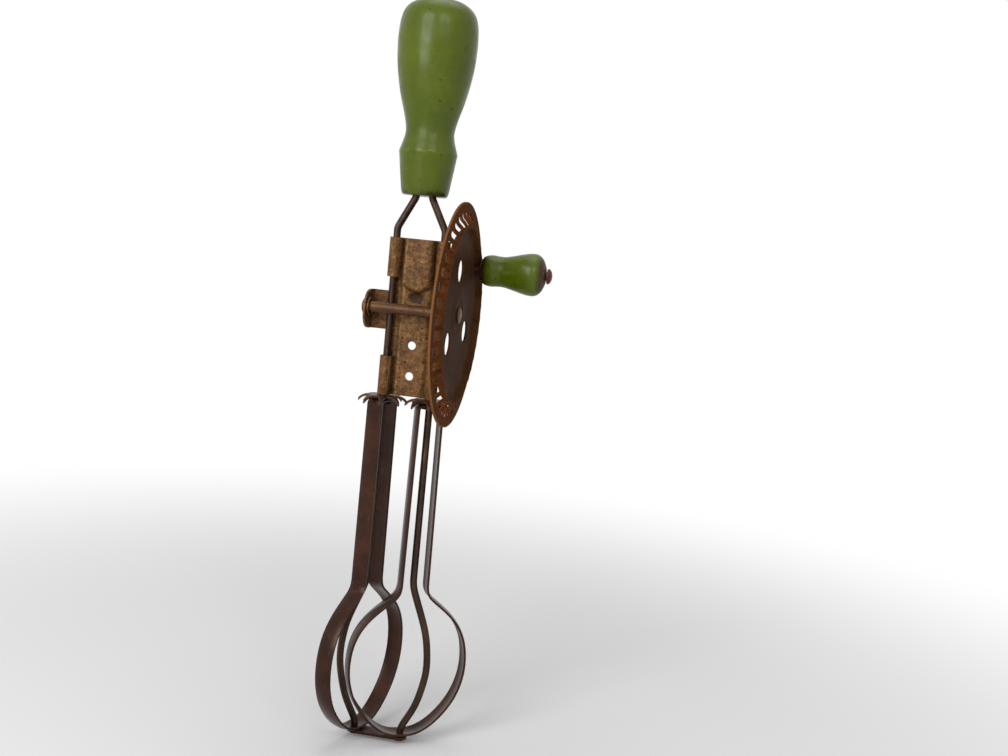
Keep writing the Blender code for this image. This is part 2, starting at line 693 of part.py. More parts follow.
def star_outline():
    """The stamped star in plan: eight tapering prongs with rounded tips and gullets."""
    outline = []
    gullet = PINION_HUB_RADIUS - PRONG_ROOT_WIDTH / 4
    tip_shares = [(-1.0, 0.90), (-0.72, 0.975), (0.0, 1.0), (0.72, 0.975), (1.0, 0.90)]
    for index in range(PRONG_COUNT):
        turn = Matrix.Rotation(index * PRONG_PITCH, 4, "Z")
        points = [(PINION_HUB_RADIUS, -PRONG_ROOT_WIDTH / 2)]
        points += [(PINION_TIP_RADIUS * r, PRONG_TIP_WIDTH / 2 * w) for w, r in tip_shares]
        points.append((PINION_HUB_RADIUS, PRONG_ROOT_WIDTH / 2))
        valley = PRONG_PITCH / 2
        points.append((gullet * math.cos(valley), gullet * math.sin(valley)))
        outline += [turn @ Vector((x, y, 0.0)) for x, y in points]
    return outline


def build_pinion(name, side, turn):
    """A pinion: a sheet dome kept only where the star's outline covers it."""
    place = (side * HALF_SPACING, 0.0, AXLE_Z + PINION_Z)
    pinion = add_object(name, revolve(pinion_dome_profile(), PINION_STEPS), "dasher_steel",
                        place, (0.0, 0.0, turn))
    mesh = bmesh.new()
    base = mesh.faces.new([mesh.verts.new(point) for point in star_outline()])
    bmesh.ops.translate(mesh, verts=mesh.verts, vec=(0.0, 0.0, -PINION_TIP_RADIUS))
    top = bmesh.ops.extrude_face_region(mesh, geom=[base])["geom"]
    moved = [item for item in top if isinstance(item, bmesh.types.BMVert)]
    bmesh.ops.translate(mesh, verts=moved, vec=(0.0, 0.0, 2 * PINION_TIP_RADIUS))
    star = add_object("guide_star", mesh, "dasher_steel", place, (0.0, 0.0, turn))
    cut(pinion, star, "INTERSECT")
    apply_modifiers(pinion)
    shade_smooth(pinion)
    return pinion


def half_loop():
    """Half of a dasher's centre line from its lapped top to the middle of its foot."""
    corner = NECK_CORNER_RADIUS
    half = [(0.0, LOOP_TOP_Z)]
    for step in range(BEND_STEPS + 1):
        angle = math.pi / 2 * step / BEND_STEPS
        half.append((NECK_TOP_RADIUS - corner * (1 - math.sin(angle)),
                     LOOP_TOP_Z - corner * (1 - math.cos(angle))))
    neck_foot = BULB_TOP_Z + 2 * BULB_BLEND
    half.append(((NECK_TOP_RADIUS + NECK_FOOT_RADIUS) / 2, (LOOP_TOP_Z + neck_foot) / 2))
    bulb_shares = [
        (0.41, 0.06), (0.715, 0.166), (0.90, 0.315), (1.0, 0.49), (0.94, 0.70), (0.695, 0.857),
        (0.325, 0.985), (0.10, 1.0), (0.0, 1.0),
    ]
    bulb = [(NECK_FOOT_RADIUS, neck_foot), (NECK_FOOT_RADIUS, neck_foot - BULB_BLEND)]
    bulb += [(BULB_RADIUS * out, BULB_TOP_Z - BULB_HEIGHT * down) for out, down in bulb_shares]
    half += smooth_points(bulb, 3)
    return half


def strip_section():
    """The strip's section, crowned to the outside of the loop."""
    shares = (-1.0, -0.5, 0.0, 0.5, 1.0)
    rise = [(STRIP_CROWN * (1 - share * share) - STRIP_CROWN, share) for share in shares]
    half_width = STRIP_WIDTH / 2
    half_thickness = STRIP_THICKNESS / 2
    outer = [(lift + half_thickness, half_width * share) for lift, share in rise]
    inner = [(lift - half_thickness, half_width * share) for lift, share in rise]
    return outer + inner[::-1]


def build_dasher(name, side, turn):
    """A dasher: one strip bent into a neck and a round bulb, holed for its rod and eyelet."""
    half = half_loop()
    right = [Vector((x, 0.0, z)) for x, z in half]
    left = [Vector((-x, 0.0, z)) for x, z in half[1:-1]]
    path = right + left[::-1]
    mesh = sweep(path, strip_section(), closed=True)
    place = (side * HALF_SPACING, 0.0, AXLE_Z)
    loop = add_object(name, mesh, "dasher_steel", place, (0.0, 0.0, turn))
    top_hole = cylinder_cutter(EYELET_RADIUS + SEAT_GAP, LOOP_TOP_Z - CUT_OVERRUN,
                               LOOP_TOP_Z + CUT_OVERRUN, place)
    foot_hole = cylinder_cutter(BORE_RADIUS, LOOP_FOOT_Z - CUT_OVERRUN,
                                LOOP_FOOT_Z + CUT_OVERRUN, place)
    cut(loop, top_hole)
    cut(loop, foot_hole)
    apply_modifiers(loop)
    shade_smooth(loop)
    return loop


def build_eyelet(name, side):
    """The eyelet that clamps a pinion on its dasher and bears on the rod."""
    top = PINION_Z + PINION_THICKNESS / 2
    flange_top = LOOP_TOP_Z - STRIP_THICKNESS / 2 - STRIP_CROWN - SEAT_GAP
    flange_low = flange_top - EYELET_FLANGE_THICKNESS
    profile = [
        (BORE_RADIUS, flange_low), (EYELET_FLANGE_DIAMETER / 2, flange_low),
        (EYELET_FLANGE_DIAMETER / 2, flange_top), (EYELET_RADIUS, flange_top),
        (EYELET_RADIUS, top), (BORE_RADIUS, top),
    ]
    turned(name, profile, "dasher_steel", (side * HALF_SPACING, 0.0, AXLE_Z))


def build_strap():
    """The tie strap: a round ended bar with a hole for each rod."""
    mesh = bmesh.new()
    outline = []
    end_steps = 10
    for side in (1, -1):
        for step in range(end_steps + 1):
            angle = side * math.pi / 2 * (2 * step / end_steps - 1) * side
            angle += 0.0 if side > 0 else math.pi
            outline.append((side * HALF_SPACING + STRAP_WIDTH / 2 * math.cos(angle),
                            STRAP_WIDTH / 2 * math.sin(angle), STRAP_FOOT_Z))
    base = mesh.faces.new([mesh.verts.new(point) for point in outline])
    top = bmesh.ops.extrude_face_region(mesh, geom=[base])["geom"]
    moved = [item for item in top if isinstance(item, bmesh.types.BMVert)]
    bmesh.ops.translate(mesh, verts=moved, vec=(0.0, 0.0, STRAP_THICKNESS))
    strap = add_object("bottom_strap", mesh, "dasher_steel", (0.0, 0.0, AXLE_Z))
    for side in (-1, 1):
        cut(strap, cylinder_cutter(BORE_RADIUS, STRAP_FOOT_Z - CUT_OVERRUN,
                                   STRAP_TOP_Z + CUT_OVERRUN,
                                   (side * HALF_SPACING, 0.0, AXLE_Z)))
    apply_modifiers(strap)
    shade_smooth(strap)
    return strap


def main():
    clear_scene()
    handle = build_handle()
    apply_modifiers(handle)
    shade_smooth(handle)
    build_rod("left_rod", -1)
    build_rod("right_rod", 1)
    build_plate()
    build_strap()
    build_axle()
    build_axle_rings()
    build_wheel()
    build_knob()
    left_pinion_angle = PRONG_PITCH / 2 - RIGHT_PINION_ANGLE
    build_pinion("right_pinion", 1, RIGHT_PINION_ANGLE)
    build_pinion("left_pinion", -1, left_pinion_angle)
    build_dasher("right_dasher", 1, RIGHT_DASHER_ANGLE)
    build_dasher("left_dasher", -1, LEFT_DASHER_ANGLE)
    build_eyelet("right_eyelet", 1)
    build_eyelet("left_eyelet", -1)


main()
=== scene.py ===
import math

import bmesh
import bpy
from mathutils import Matrix, Quaternion, Vector


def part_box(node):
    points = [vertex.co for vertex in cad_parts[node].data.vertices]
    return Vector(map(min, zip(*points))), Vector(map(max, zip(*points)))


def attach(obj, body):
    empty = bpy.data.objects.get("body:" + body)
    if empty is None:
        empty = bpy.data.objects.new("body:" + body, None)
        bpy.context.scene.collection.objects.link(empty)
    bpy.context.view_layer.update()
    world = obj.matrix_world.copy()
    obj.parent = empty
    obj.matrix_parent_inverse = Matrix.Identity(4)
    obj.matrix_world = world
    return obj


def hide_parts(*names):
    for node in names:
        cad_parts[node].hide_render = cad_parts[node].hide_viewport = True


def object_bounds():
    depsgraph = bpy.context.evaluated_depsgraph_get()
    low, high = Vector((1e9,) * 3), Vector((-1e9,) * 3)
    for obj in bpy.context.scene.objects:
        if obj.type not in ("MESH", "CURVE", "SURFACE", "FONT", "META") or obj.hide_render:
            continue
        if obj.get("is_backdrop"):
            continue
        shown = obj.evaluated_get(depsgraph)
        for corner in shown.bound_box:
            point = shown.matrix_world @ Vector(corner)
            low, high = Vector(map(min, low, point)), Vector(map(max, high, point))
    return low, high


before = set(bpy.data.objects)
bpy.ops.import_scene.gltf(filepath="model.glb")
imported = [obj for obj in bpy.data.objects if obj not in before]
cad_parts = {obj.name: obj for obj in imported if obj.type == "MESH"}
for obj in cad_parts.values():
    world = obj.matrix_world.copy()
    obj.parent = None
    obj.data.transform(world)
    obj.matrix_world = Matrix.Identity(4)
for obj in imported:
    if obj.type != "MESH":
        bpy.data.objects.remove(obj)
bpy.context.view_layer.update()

bl_info = {
    "name": "Rotary egg beater",
    "version": (1, 0, 0),
    "blender": (4, 5, 0),
    "location": "3D View > Sidebar > Beater",
    "description": "Dresses a hand cranked rotary egg beater in finer shapes and worn finishes",
    "category": "Object",
}

PICTURE_WIDTH = 1008
SENSOR_WIDTH = 36.0
RUNNING_GAP = 0.0003
PINION_SHEET = 0.0009
WINDOWS = 40
EDGE_ROUND = 0.00012
AXLE_BORE, KNOB_BORE, ROD_BORE = 0.0024, 0.0020, 0.00175
DENT_HEIGHT, DENT_WIDTH, DENT_RISE, DENT_DEPTH = 0.0046, 0.0034, 0.0025, 0.0008
X_AXIS = Matrix.Rotation(math.pi / 2, 4, "Y")


def length(name, description, default):
    return bpy.props.FloatProperty(name=name, description=description, default=default,
                                   unit="LENGTH", subtype="DISTANCE", precision=5)


def angle(name, description, degrees):
    return bpy.props.FloatProperty(name=name, description=description, unit="ROTATION",
                                   subtype="ANGLE", default=math.radians(degrees))


def linear(red, green, blue):
    """A colour picked on a screen, 0 to 255, as linear light."""
    shares = [value / 255 for value in (red, green, blue)]
    return tuple(v / 12.92 if v <= 0.04045 else ((v + 0.055) / 1.055) ** 2.4 for v in shares)


def colour(name, description, *screen):
    return bpy.props.FloatVectorProperty(name=name, description=description, size=3,
                                         subtype="COLOR", min=0.0, max=1.0,
                                         default=linear(*screen))


class BeaterSizes(bpy.types.PropertyGroup):
    """Sizes of the beater's finer pieces, in the frame's own metres."""
    axle_z: length("Axle height", "Height of the drive axle", -0.0750)
    axle_y: length("Axle offset", "How far the axle passes in front of the rods", -0.0043)
    handle_top: length("Handle top", "Height of the handle's dome", 0.0432)
    handle_foot: length("Handle foot", "Height of the handle's flat foot", -0.0305)
    spacing: length("Rod spacing", "Distance between the two rods", 0.0192)
    splay_spacing: length("Tang spacing", "Distance between the rods in the handle", 0.0062)
    rod_diameter: length("Rod diameter", "Thickness of the wire rods", 0.0029)
    rod_bow: length("Rod bow", "How far a rod bows out beside the bulb", 0.0087)
    rod_bend: length("Rod bend", "Radius of the bends under the handle", 0.005)
    plate_top: length("Plate top", "Top of the gear plate above the axle", 0.0278)
    plate_bottom: length("Plate foot", "Foot of the gear plate under the axle", -0.0345)
    sheet: length("Sheet", "Thickness of the stamped sheet", 0.0008)
    wheel_diameter: length("Wheel diameter", "Diameter of the crown wheel", 0.0872)
    wheel_x: length("Wheel place", "Where the wheel's disc lies along the axle", 0.0185)
    strip_width: length("Strip width", "Width of the dasher strip", 0.0073)
    strip_thickness: length("Strip thickness", "Thickness of the dasher strip", 0.0009)
    bulb_radius: length("Bulb radius", "Greatest reach of a dasher's bulb", 0.0243)
    bulb_height: length("Bulb height", "Height of a dasher's bulb", 0.0599)
    neck_length: length("Neck length", "Length of a dasher's neck", 0.0768)
    right_turn: angle("Right dasher", "Turn of the right dasher at rest", 27.5)
    left_turn: angle("Left dasher", "Turn of the left dasher at rest", 69.5)
    knob_throw: length("Knob throw", "Distance from the axle to the knob", 0.0313)
    knob_angle: angle("Knob angle", "Place of the knob round the wheel at rest", 35.0)


class BeaterColours(bpy.types.PropertyGroup):
    """Colours of the beater's finishes."""
    paint: colour("Paint", "Gloss paint of the handle", 80, 94, 2)
    paint_shade: colour("Old paint", "Aged patches in the paint", 56, 70, 2)
    paint_light: colour("Light paint", "Lighter patches in the paint", 98, 114, 10)
    # The knob's paint and old paint are lighter than the handle's: partly a brighter paint, partly
    # painted light making up for the key lamp that the wheel keeps off the knob.
    knob: colour("Knob paint", "Brighter gloss paint of the knob", 88, 104, 3)
    knob_shade: colour("Old knob paint", "Aged patches in the knob's paint", 60, 74, 2)
    speck: colour("Specks", "Small dark specks in the paint", 36, 38, 14)
    nick: colour("Nicks", "Nicks through the paint", 46, 34, 16)
    ridge: colour("Ridge", "Paint rubbed pale on the handle's ridge", 126, 140, 52)
    handle_grime: colour("Handle grime", "Dark grime round the handle's foot", 44, 42, 16)
    knob_wood: colour("Knob wood", "Bare dark wood at the knob's end", 56, 34, 18)
    # Painted shade where the knob's foot meets its washer on the wheel.
    knob_foot_painted_shade: colour("Knob grime", "Dark grime at the knob's foot", 40, 38, 18)
    plate: colour("Plate", "Golden brown of the gear plate", 138, 98, 56)
    plate_shade: colour("Plate shade", "Darker rust on the gear plate", 60, 38, 20)
    plate_mottle: colour("Plate mottle", "Fine dark mottling of the plate", 58, 35, 16)
    plate_light: colour("Plate light", "Light flecks of the plate", 196, 156, 100)
    # Also painted highlights along the panel's left bend and on the left lower barrel.
    plate_bare_and_highlight: colour("Bare plate", "Plate rubbed bare in streaks and on bends", 190, 159, 111)
    # This colour also paints the shade in the dent at the raised panel's foot.
    plate_pits_and_dent_shade: colour("Plate pits", "Small pits in the plate", 44, 29, 17)
    plate_dot: colour("Plate dots", "Larger dark dots on the plate", 30, 19, 12)
    rust: colour("Rust", "Fresh orange rust", 122, 66, 28)
    wheel: colour("Wheel", "Dark brown of the crown wheel", 66, 40, 22)
    wheel_shade: colour("Wheel shade", "Darkest patches on the wheel", 42, 24, 12)
    wheel_worn: colour("Worn wheel", "Wheel worn lighter towards its crest", 92, 64, 42)
    wheel_band: colour("Wheel band", "Rust round the wheel's windows", 104, 56, 22)
    wheel_lip: colour("Wheel lip", "Rubbed edge of the wheel's rim", 128, 88, 52)
    wheel_rub: colour("Wheel rubs", "Scuffs across the wheel", 104, 80, 60)
    metal_pit: colour("Pits", "Pits in the wheel, the rods and the dashers", 20, 12, 8)
    steel: colour("Dasher", "Brown patina of the dashers", 68, 36, 19)
    steel_shade: colour("Dasher shade", "Dark patches on the dashers", 30, 14, 8)
    steel_rub: colour("Rubbed steel", "Steel rubbed bright in fine streaks", 150, 118, 94)
    rod: colour("Rod", "Grey brown of the rods", 70, 50, 36)
    rod_shade: colour("Rod shade", "Dark patches on the rods", 34, 26, 20)
    axle: colour("Axle", "Brown of the drive axle and its rings", 100, 66, 36)
    rivet: colour("Rivet", "Red brown of the knob's stud", 98, 46, 32)
    pinion: colour("Pinion", "Brown of the pinions", 96, 66, 44)
    floor: colour("Floor", "Pale floor and backdrop", 250, 250, 250)
    # The floor's grey near the foot is a painted shadow.
    floor_painted_shadow: colour("Floor shade", "Soft grey of the floor near the foot", 172, 172, 175)


def sizes():
    return bpy.context.scene.beater_sizes


def colours():
    return bpy.context.scene.beater_colours


def smooth_curve(points, per_span):
    """A smooth curve through given points of any dimension."""
    ends = [points[0]] + list(points) + [points[-1]]
    curve = []
    for before, start, end, after in zip(ends, ends[1:], ends[2:], ends[3:]):
        for step in range(per_span):
            t = step / per_span
            curve.append(tuple(
                0.5 * (2 * b + (c - a) * t + (2 * a - 5 * b + 4 * c - d) * t * t
                       + (3 * b - a - 3 * c + d) * t ** 3)
                for a, b, c, d in zip(before, start, end, after)))
    curve.append(tuple(points[-1]))
    return curve


def eased(points, passes):
    """The points with their small wobbles averaged out; the two ends stay."""
    points = [tuple(point) for point in points]
    for _ in range(passes):
        inner = [tuple((a + 2 * b + c) / 4 for a, b, c in zip(*three))
                 for three in zip(points, points[1:], points[2:])]
        points = [points[0]] + inner + [points[-1]]
    return points


def even_points(points, step):
    """The same line with its points an even step apart."""
    reach = [0.0]
    for first, last in zip(points, points[1:]):
        reach.append(reach[-1] + math.dist(first, last))
    count = max(2, round(reach[-1] / step))
    line, index = [], 0
    for number in range(count + 1):
        goal = reach[-1] * number / count
        while index < len(points) - 2 and reach[index + 1] < goal:
            index += 1
        share = (goal - reach[index]) / max(reach[index + 1] - reach[index], 1e-12)
        share = min(max(share, 0.0), 1.0)
        line.append(tuple(a + (b - a) * share for a, b in zip(points[index], points[index + 1])))
    return line


def smooth_step(value):
    value = min(max(value, 0.0), 1.0)
    return value * value * (3 - 2 * value)


def rounded_path(corners, radius, steps=10):
    """A polyline in X and Z with each inner corner rounded by an arc."""
    path = [Vector(corners[0])]
    for before, corner, after in zip(corners, corners[1:], corners[2:]):
        middle = Vector(corner)
        back = (Vector(before) - middle).normalized()
        ahead = (Vector(after) - middle).normalized()
        half = back.angle(ahead) / 2
        setback = radius / math.tan(half)
        centre = middle + (back + ahead).normalized() * radius / math.sin(half)
        first = middle + back * setback - centre
        last = middle + ahead * setback - centre
        turn = first.rotation_difference(last)
        for step in range(steps + 1):
            path.append(centre + Quaternion(turn.axis, turn.angle * step / steps) @ first)
    path.append(Vector(corners[-1]))
    return path


def placed(name, data):
    """A new object in the scene, at the origin."""
    thing = bpy.data.objects.new(name, data)
    bpy.context.collection.objects.link(thing)
    return thing


def mesh_object(name, mesh):
    """Turn a finished bmesh into an object."""
    data = bpy.data.meshes.new(name)
    mesh.to_mesh(data)
    mesh.free()
    return placed(name, data)


def add_piece(name, mesh, material, body, stands_for=(), sharp=35.0):
    """Make a finished, smooth shaded piece that rides on a body."""
    piece = mesh_object(name, mesh)
    piece.data.materials.append(material)
    piece.data.shade_smooth()
    piece.data.set_sharp_from_angle(angle=math.radians(sharp))
    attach(piece, body)
    if stands_for:
        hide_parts(*stands_for)
    return piece


def weld(mesh):
    """Join the corners that meet, and turn the faces the same way out."""
    bmesh.ops.remove_doubles(mesh, verts=mesh.verts, dist=1e-6)
    bmesh.ops.recalc_face_normals(mesh, faces=mesh.faces)


def turned_mesh(profile, steps, place):
    """Spin a (radius, height) outline about Z into a closed shell, then put it in place."""
    mesh = bmesh.new()
    points = [mesh.verts.new((radius, 0.0, height)) for radius, height in profile]
    edges = [mesh.edges.new(pair) for pair in zip(points, points[1:])]
    if min(radius for radius, _ in profile) > 0.0:
        edges.append(mesh.edges.new((points[-1], points[0])))
    bmesh.ops.spin(mesh, geom=points + edges, cent=(0.0, 0.0, 0.0), axis=(0.0, 0.0, 1.0),
                   angle=2 * math.pi, steps=steps, use_merge=True)
    weld(mesh)
    bmesh.ops.transform(mesh, matrix=place, verts=mesh.verts)
    return mesh


def along_x(x, y, z):
    """Lay a piece turned about Z along the drive axle, at a point."""
    return Matrix.Translation((x, y, z)) @ X_AXIS


def dome(radius, foot, rise, lift, steps):
    """The round top of a rivet's head as an outline, from its edge to its middle."""
    turns = [math.pi / 2 * step / steps for step in range(steps)]
    return [(radius * math.cos(turn), foot + rise * (lift + (1 - lift) * math.sin(turn)))
            for turn in turns] + [(0.0, foot + rise)]


def bevel_edges(piece, width, segments, limit):
    bevel = piece.modifiers.new("edges", "BEVEL")
    bevel.width = width
    bevel.segments = segments
    bevel.limit_method = "ANGLE"
    bevel.angle_limit = math.radians(limit)
    bevel.harden_normals = True


def sheet_wall(piece, thickness, offset=0.0):
    """Give a surface its wall, by default half to each side."""
    wall = piece.modifiers.new("sheet", "SOLIDIFY")
    wall.thickness = thickness
    wall.offset = offset
    wall.use_even_offset = True


def bake_modifiers(piece, guides=(), sharp=35.0):
    """Keep the mesh that the modifiers make, and drop the guides that cut it."""
    graph = bpy.context.evaluated_depsgraph_get()
    baked = bpy.data.meshes.new_from_object(piece.evaluated_get(graph))
    piece.modifiers.clear()
    piece.data = baked
    for guide in guides:
        bpy.data.objects.remove(guide, do_unlink=True)
    baked.shade_smooth()
    baked.set_sharp_from_angle(angle=math.radians(sharp))


def cutting_pin(radius, start, end, place, steps=48):
    """A hidden round pin that cuts a hole."""
    mesh = bmesh.new()
    bmesh.ops.create_cone(mesh, cap_ends=True, segments=steps, radius1=radius, radius2=radius,
                          depth=end - start)
    shift = Matrix.Translation((0.0, 0.0, (start + end) / 2))
    bmesh.ops.transform(mesh, matrix=place @ shift, verts=mesh.verts)
    pin = mesh_object("cutting_pin", mesh)
    pin.hide_render = True
    return pin


def cut_holes(piece, pins):
    for pin in pins:
        cut = piece.modifiers.new("hole", "BOOLEAN")
        cut.object = pin
        cut.operation = "DIFFERENCE"
        cut.solver = "EXACT"


# Shader groups that the finishes share
def new_group(name, inputs, outputs):
    """An empty shader group with named number, vector and colour sockets."""
    group = bpy.data.node_groups.new(name, "ShaderNodeTree")
    for label, kind, default in inputs:
        socket = group.interface.new_socket(label, in_out="INPUT", socket_type=kind)
        if default is not None:
            socket.default_value = default
    for label, kind in outputs:
        group.interface.new_socket(label, in_out="OUTPUT", socket_type=kind)
    start = group.nodes.new("NodeGroupInput")
    end = group.nodes.new("NodeGroupOutput")
    return group, start, end


def feed(tree, socket, given):
    """Give a socket a number, or link another socket to it."""
    if isinstance(given, bpy.types.NodeSocket):
        tree.links.new(given, socket)
    else:
        socket.default_value = given


def map_range(tree, value, low, high, to_low=0.0, to_high=1.0):
    """A smooth, clamped remap; each limit is a number or a socket."""
    node = tree.nodes.new("ShaderNodeMapRange")
    node.interpolation_type = "SMOOTHSTEP"
    for label, given in (("Value", value), ("From Min", low), ("From Max", high),
                         ("To Min", to_low), ("To Max", to_high)):
        feed(tree, node.inputs[label], given)
    return node.outputs["Result"]


def maths(tree, operation, *given):
    node = tree.nodes.new("ShaderNodeMath")
    node.operation = operation
    for socket, value in zip(node.inputs, given):
        feed(tree, socket, value)
    return node.outputs[0]


def noise(tree, vector, scale, detail=4.0, roughness=0.55, distortion=0.0):
    node = tree.nodes.new("ShaderNodeTexNoise")
    for label, given in (("Vector", vector), ("Scale", scale), ("Detail", detail),
                         ("Roughness", roughness), ("Distortion", distortion)):
        feed(tree, node.inputs[label], given)
    return node.outputs["Fac"]


def reach_of(tree, vector):
    """How long a vector is."""
    node = tree.nodes.new("ShaderNodeVectorMath")
    node.operation = "LENGTH"
    tree.links.new(vector, node.inputs[0])
    return node.outputs["Value"]


def patches_group():
    """Soft edged patches, as of patina or aged paint."""
    group, start, end = new_group(
        "patches",
        [("Vector", "NodeSocketVector", None), ("Scale", "NodeSocketFloat", 60.0),
         ("Detail", "NodeSocketFloat", 5.0), ("Share", "NodeSocketFloat", 0.5),
         ("Softness", "NodeSocketFloat", 0.15)],
        [("Mask", "NodeSocketFloat")])
    cloud = noise(group, start.outputs["Vector"], start.outputs["Scale"],
                  start.outputs["Detail"], 0.6, 0.3)
    middle = maths(group, "SUBTRACT", 1.0, start.outputs["Share"])
    middle = maths(group, "MULTIPLY_ADD", middle, 0.5, 0.25)
    low = maths(group, "SUBTRACT", middle, start.outputs["Softness"])
    high = maths(group, "ADD", middle, start.outputs["Softness"])
    group.links.new(map_range(group, cloud, low, high), end.inputs["Mask"])
    return group


def specks_group():
    """Small round specks or pits, scattered and of uneven size, with their depth."""
    group, start, end = new_group(
        "specks",
        [("Vector", "NodeSocketVector", None), ("Scale", "NodeSocketFloat", 400.0),
         ("Size", "NodeSocketFloat", 0.25), ("Share", "NodeSocketFloat", 0.4)],
        [("Mask", "NodeSocketFloat"), ("Depth", "NodeSocketFloat")])
    wobble = group.nodes.new("ShaderNodeTexNoise")
    group.links.new(start.outputs["Vector"], wobble.inputs["Vector"])
    group.links.new(start.outputs["Scale"], wobble.inputs["Scale"])
    wobble.inputs["Detail"].default_value = 2.0
    shift = group.nodes.new("ShaderNodeVectorMath")
    shift.operation = "MULTIPLY_ADD"
    shift.inputs[1].default_value = (0.0012, 0.0012, 0.0012)
    group.links.new(wobble.outputs["Color"], shift.inputs[0])
    group.links.new(start.outputs["Vector"], shift.inputs[2])
    cells = group.nodes.new("ShaderNodeTexVoronoi")
    cells.inputs["Randomness"].default_value = 1.0
    group.links.new(shift.outputs[0], cells.inputs["Vector"])
    group.links.new(start.outputs["Scale"], cells.inputs["Scale"])
    parts = group.nodes.new("ShaderNodeSeparateColor")
    group.links.new(cells.outputs["Color"], parts.inputs["Color"])
    present = maths(group, "LESS_THAN", parts.outputs["Red"], start.outputs["Share"])
    reach = maths(group, "MULTIPLY_ADD", parts.outputs["Green"], 0.8, 0.4)
    reach = maths(group, "MULTIPLY", reach, start.outputs["Size"])
    inner = maths(group, "MULTIPLY", reach, 0.55)
    spot = map_range(group, cells.outputs["Distance"], inner, reach, 1.0, 0.0)
    mask = maths(group, "MULTIPLY", spot, present)
    group.links.new(mask, end.inputs["Mask"])
    group.links.new(maths(group, "MULTIPLY", mask, -1.0), end.inputs["Depth"])
    return group


def streaks_group():
    """Fine streaks along one direction, as of grain, drawing marks or scratches."""
    group, start, end = new_group(
        "streaks",
        [("Vector", "NodeSocketVector", None), ("Stretch", "NodeSocketVector", (1.0, 1.0, 0.05)),
         ("Scale", "NodeSocketFloat", 900.0), ("Share", "NodeSocketFloat", 0.4)],
        [("Mask", "NodeSocketFloat"), ("Height", "NodeSocketFloat")])
    stretch = group.nodes.new("ShaderNodeVectorMath")
    stretch.operation = "MULTIPLY"
    group.links.new(start.outputs["Vector"], stretch.inputs[0])
    group.links.new(start.outputs["Stretch"], stretch.inputs[1])
    cloud = noise(group, stretch.outputs[0], start.outputs["Scale"], 3.0, 0.6)
    middle = maths(group, "MULTIPLY_ADD", start.outputs["Share"], -0.5, 0.85)
    high = maths(group, "ADD", middle, 0.10)
    group.links.new(map_range(group, cloud, middle, high), end.inputs["Mask"])
    group.links.new(cloud, end.inputs["Height"])
    return group


SHARED_GROUPS = {"patches": patches_group, "specks": specks_group, "streaks": streaks_group}


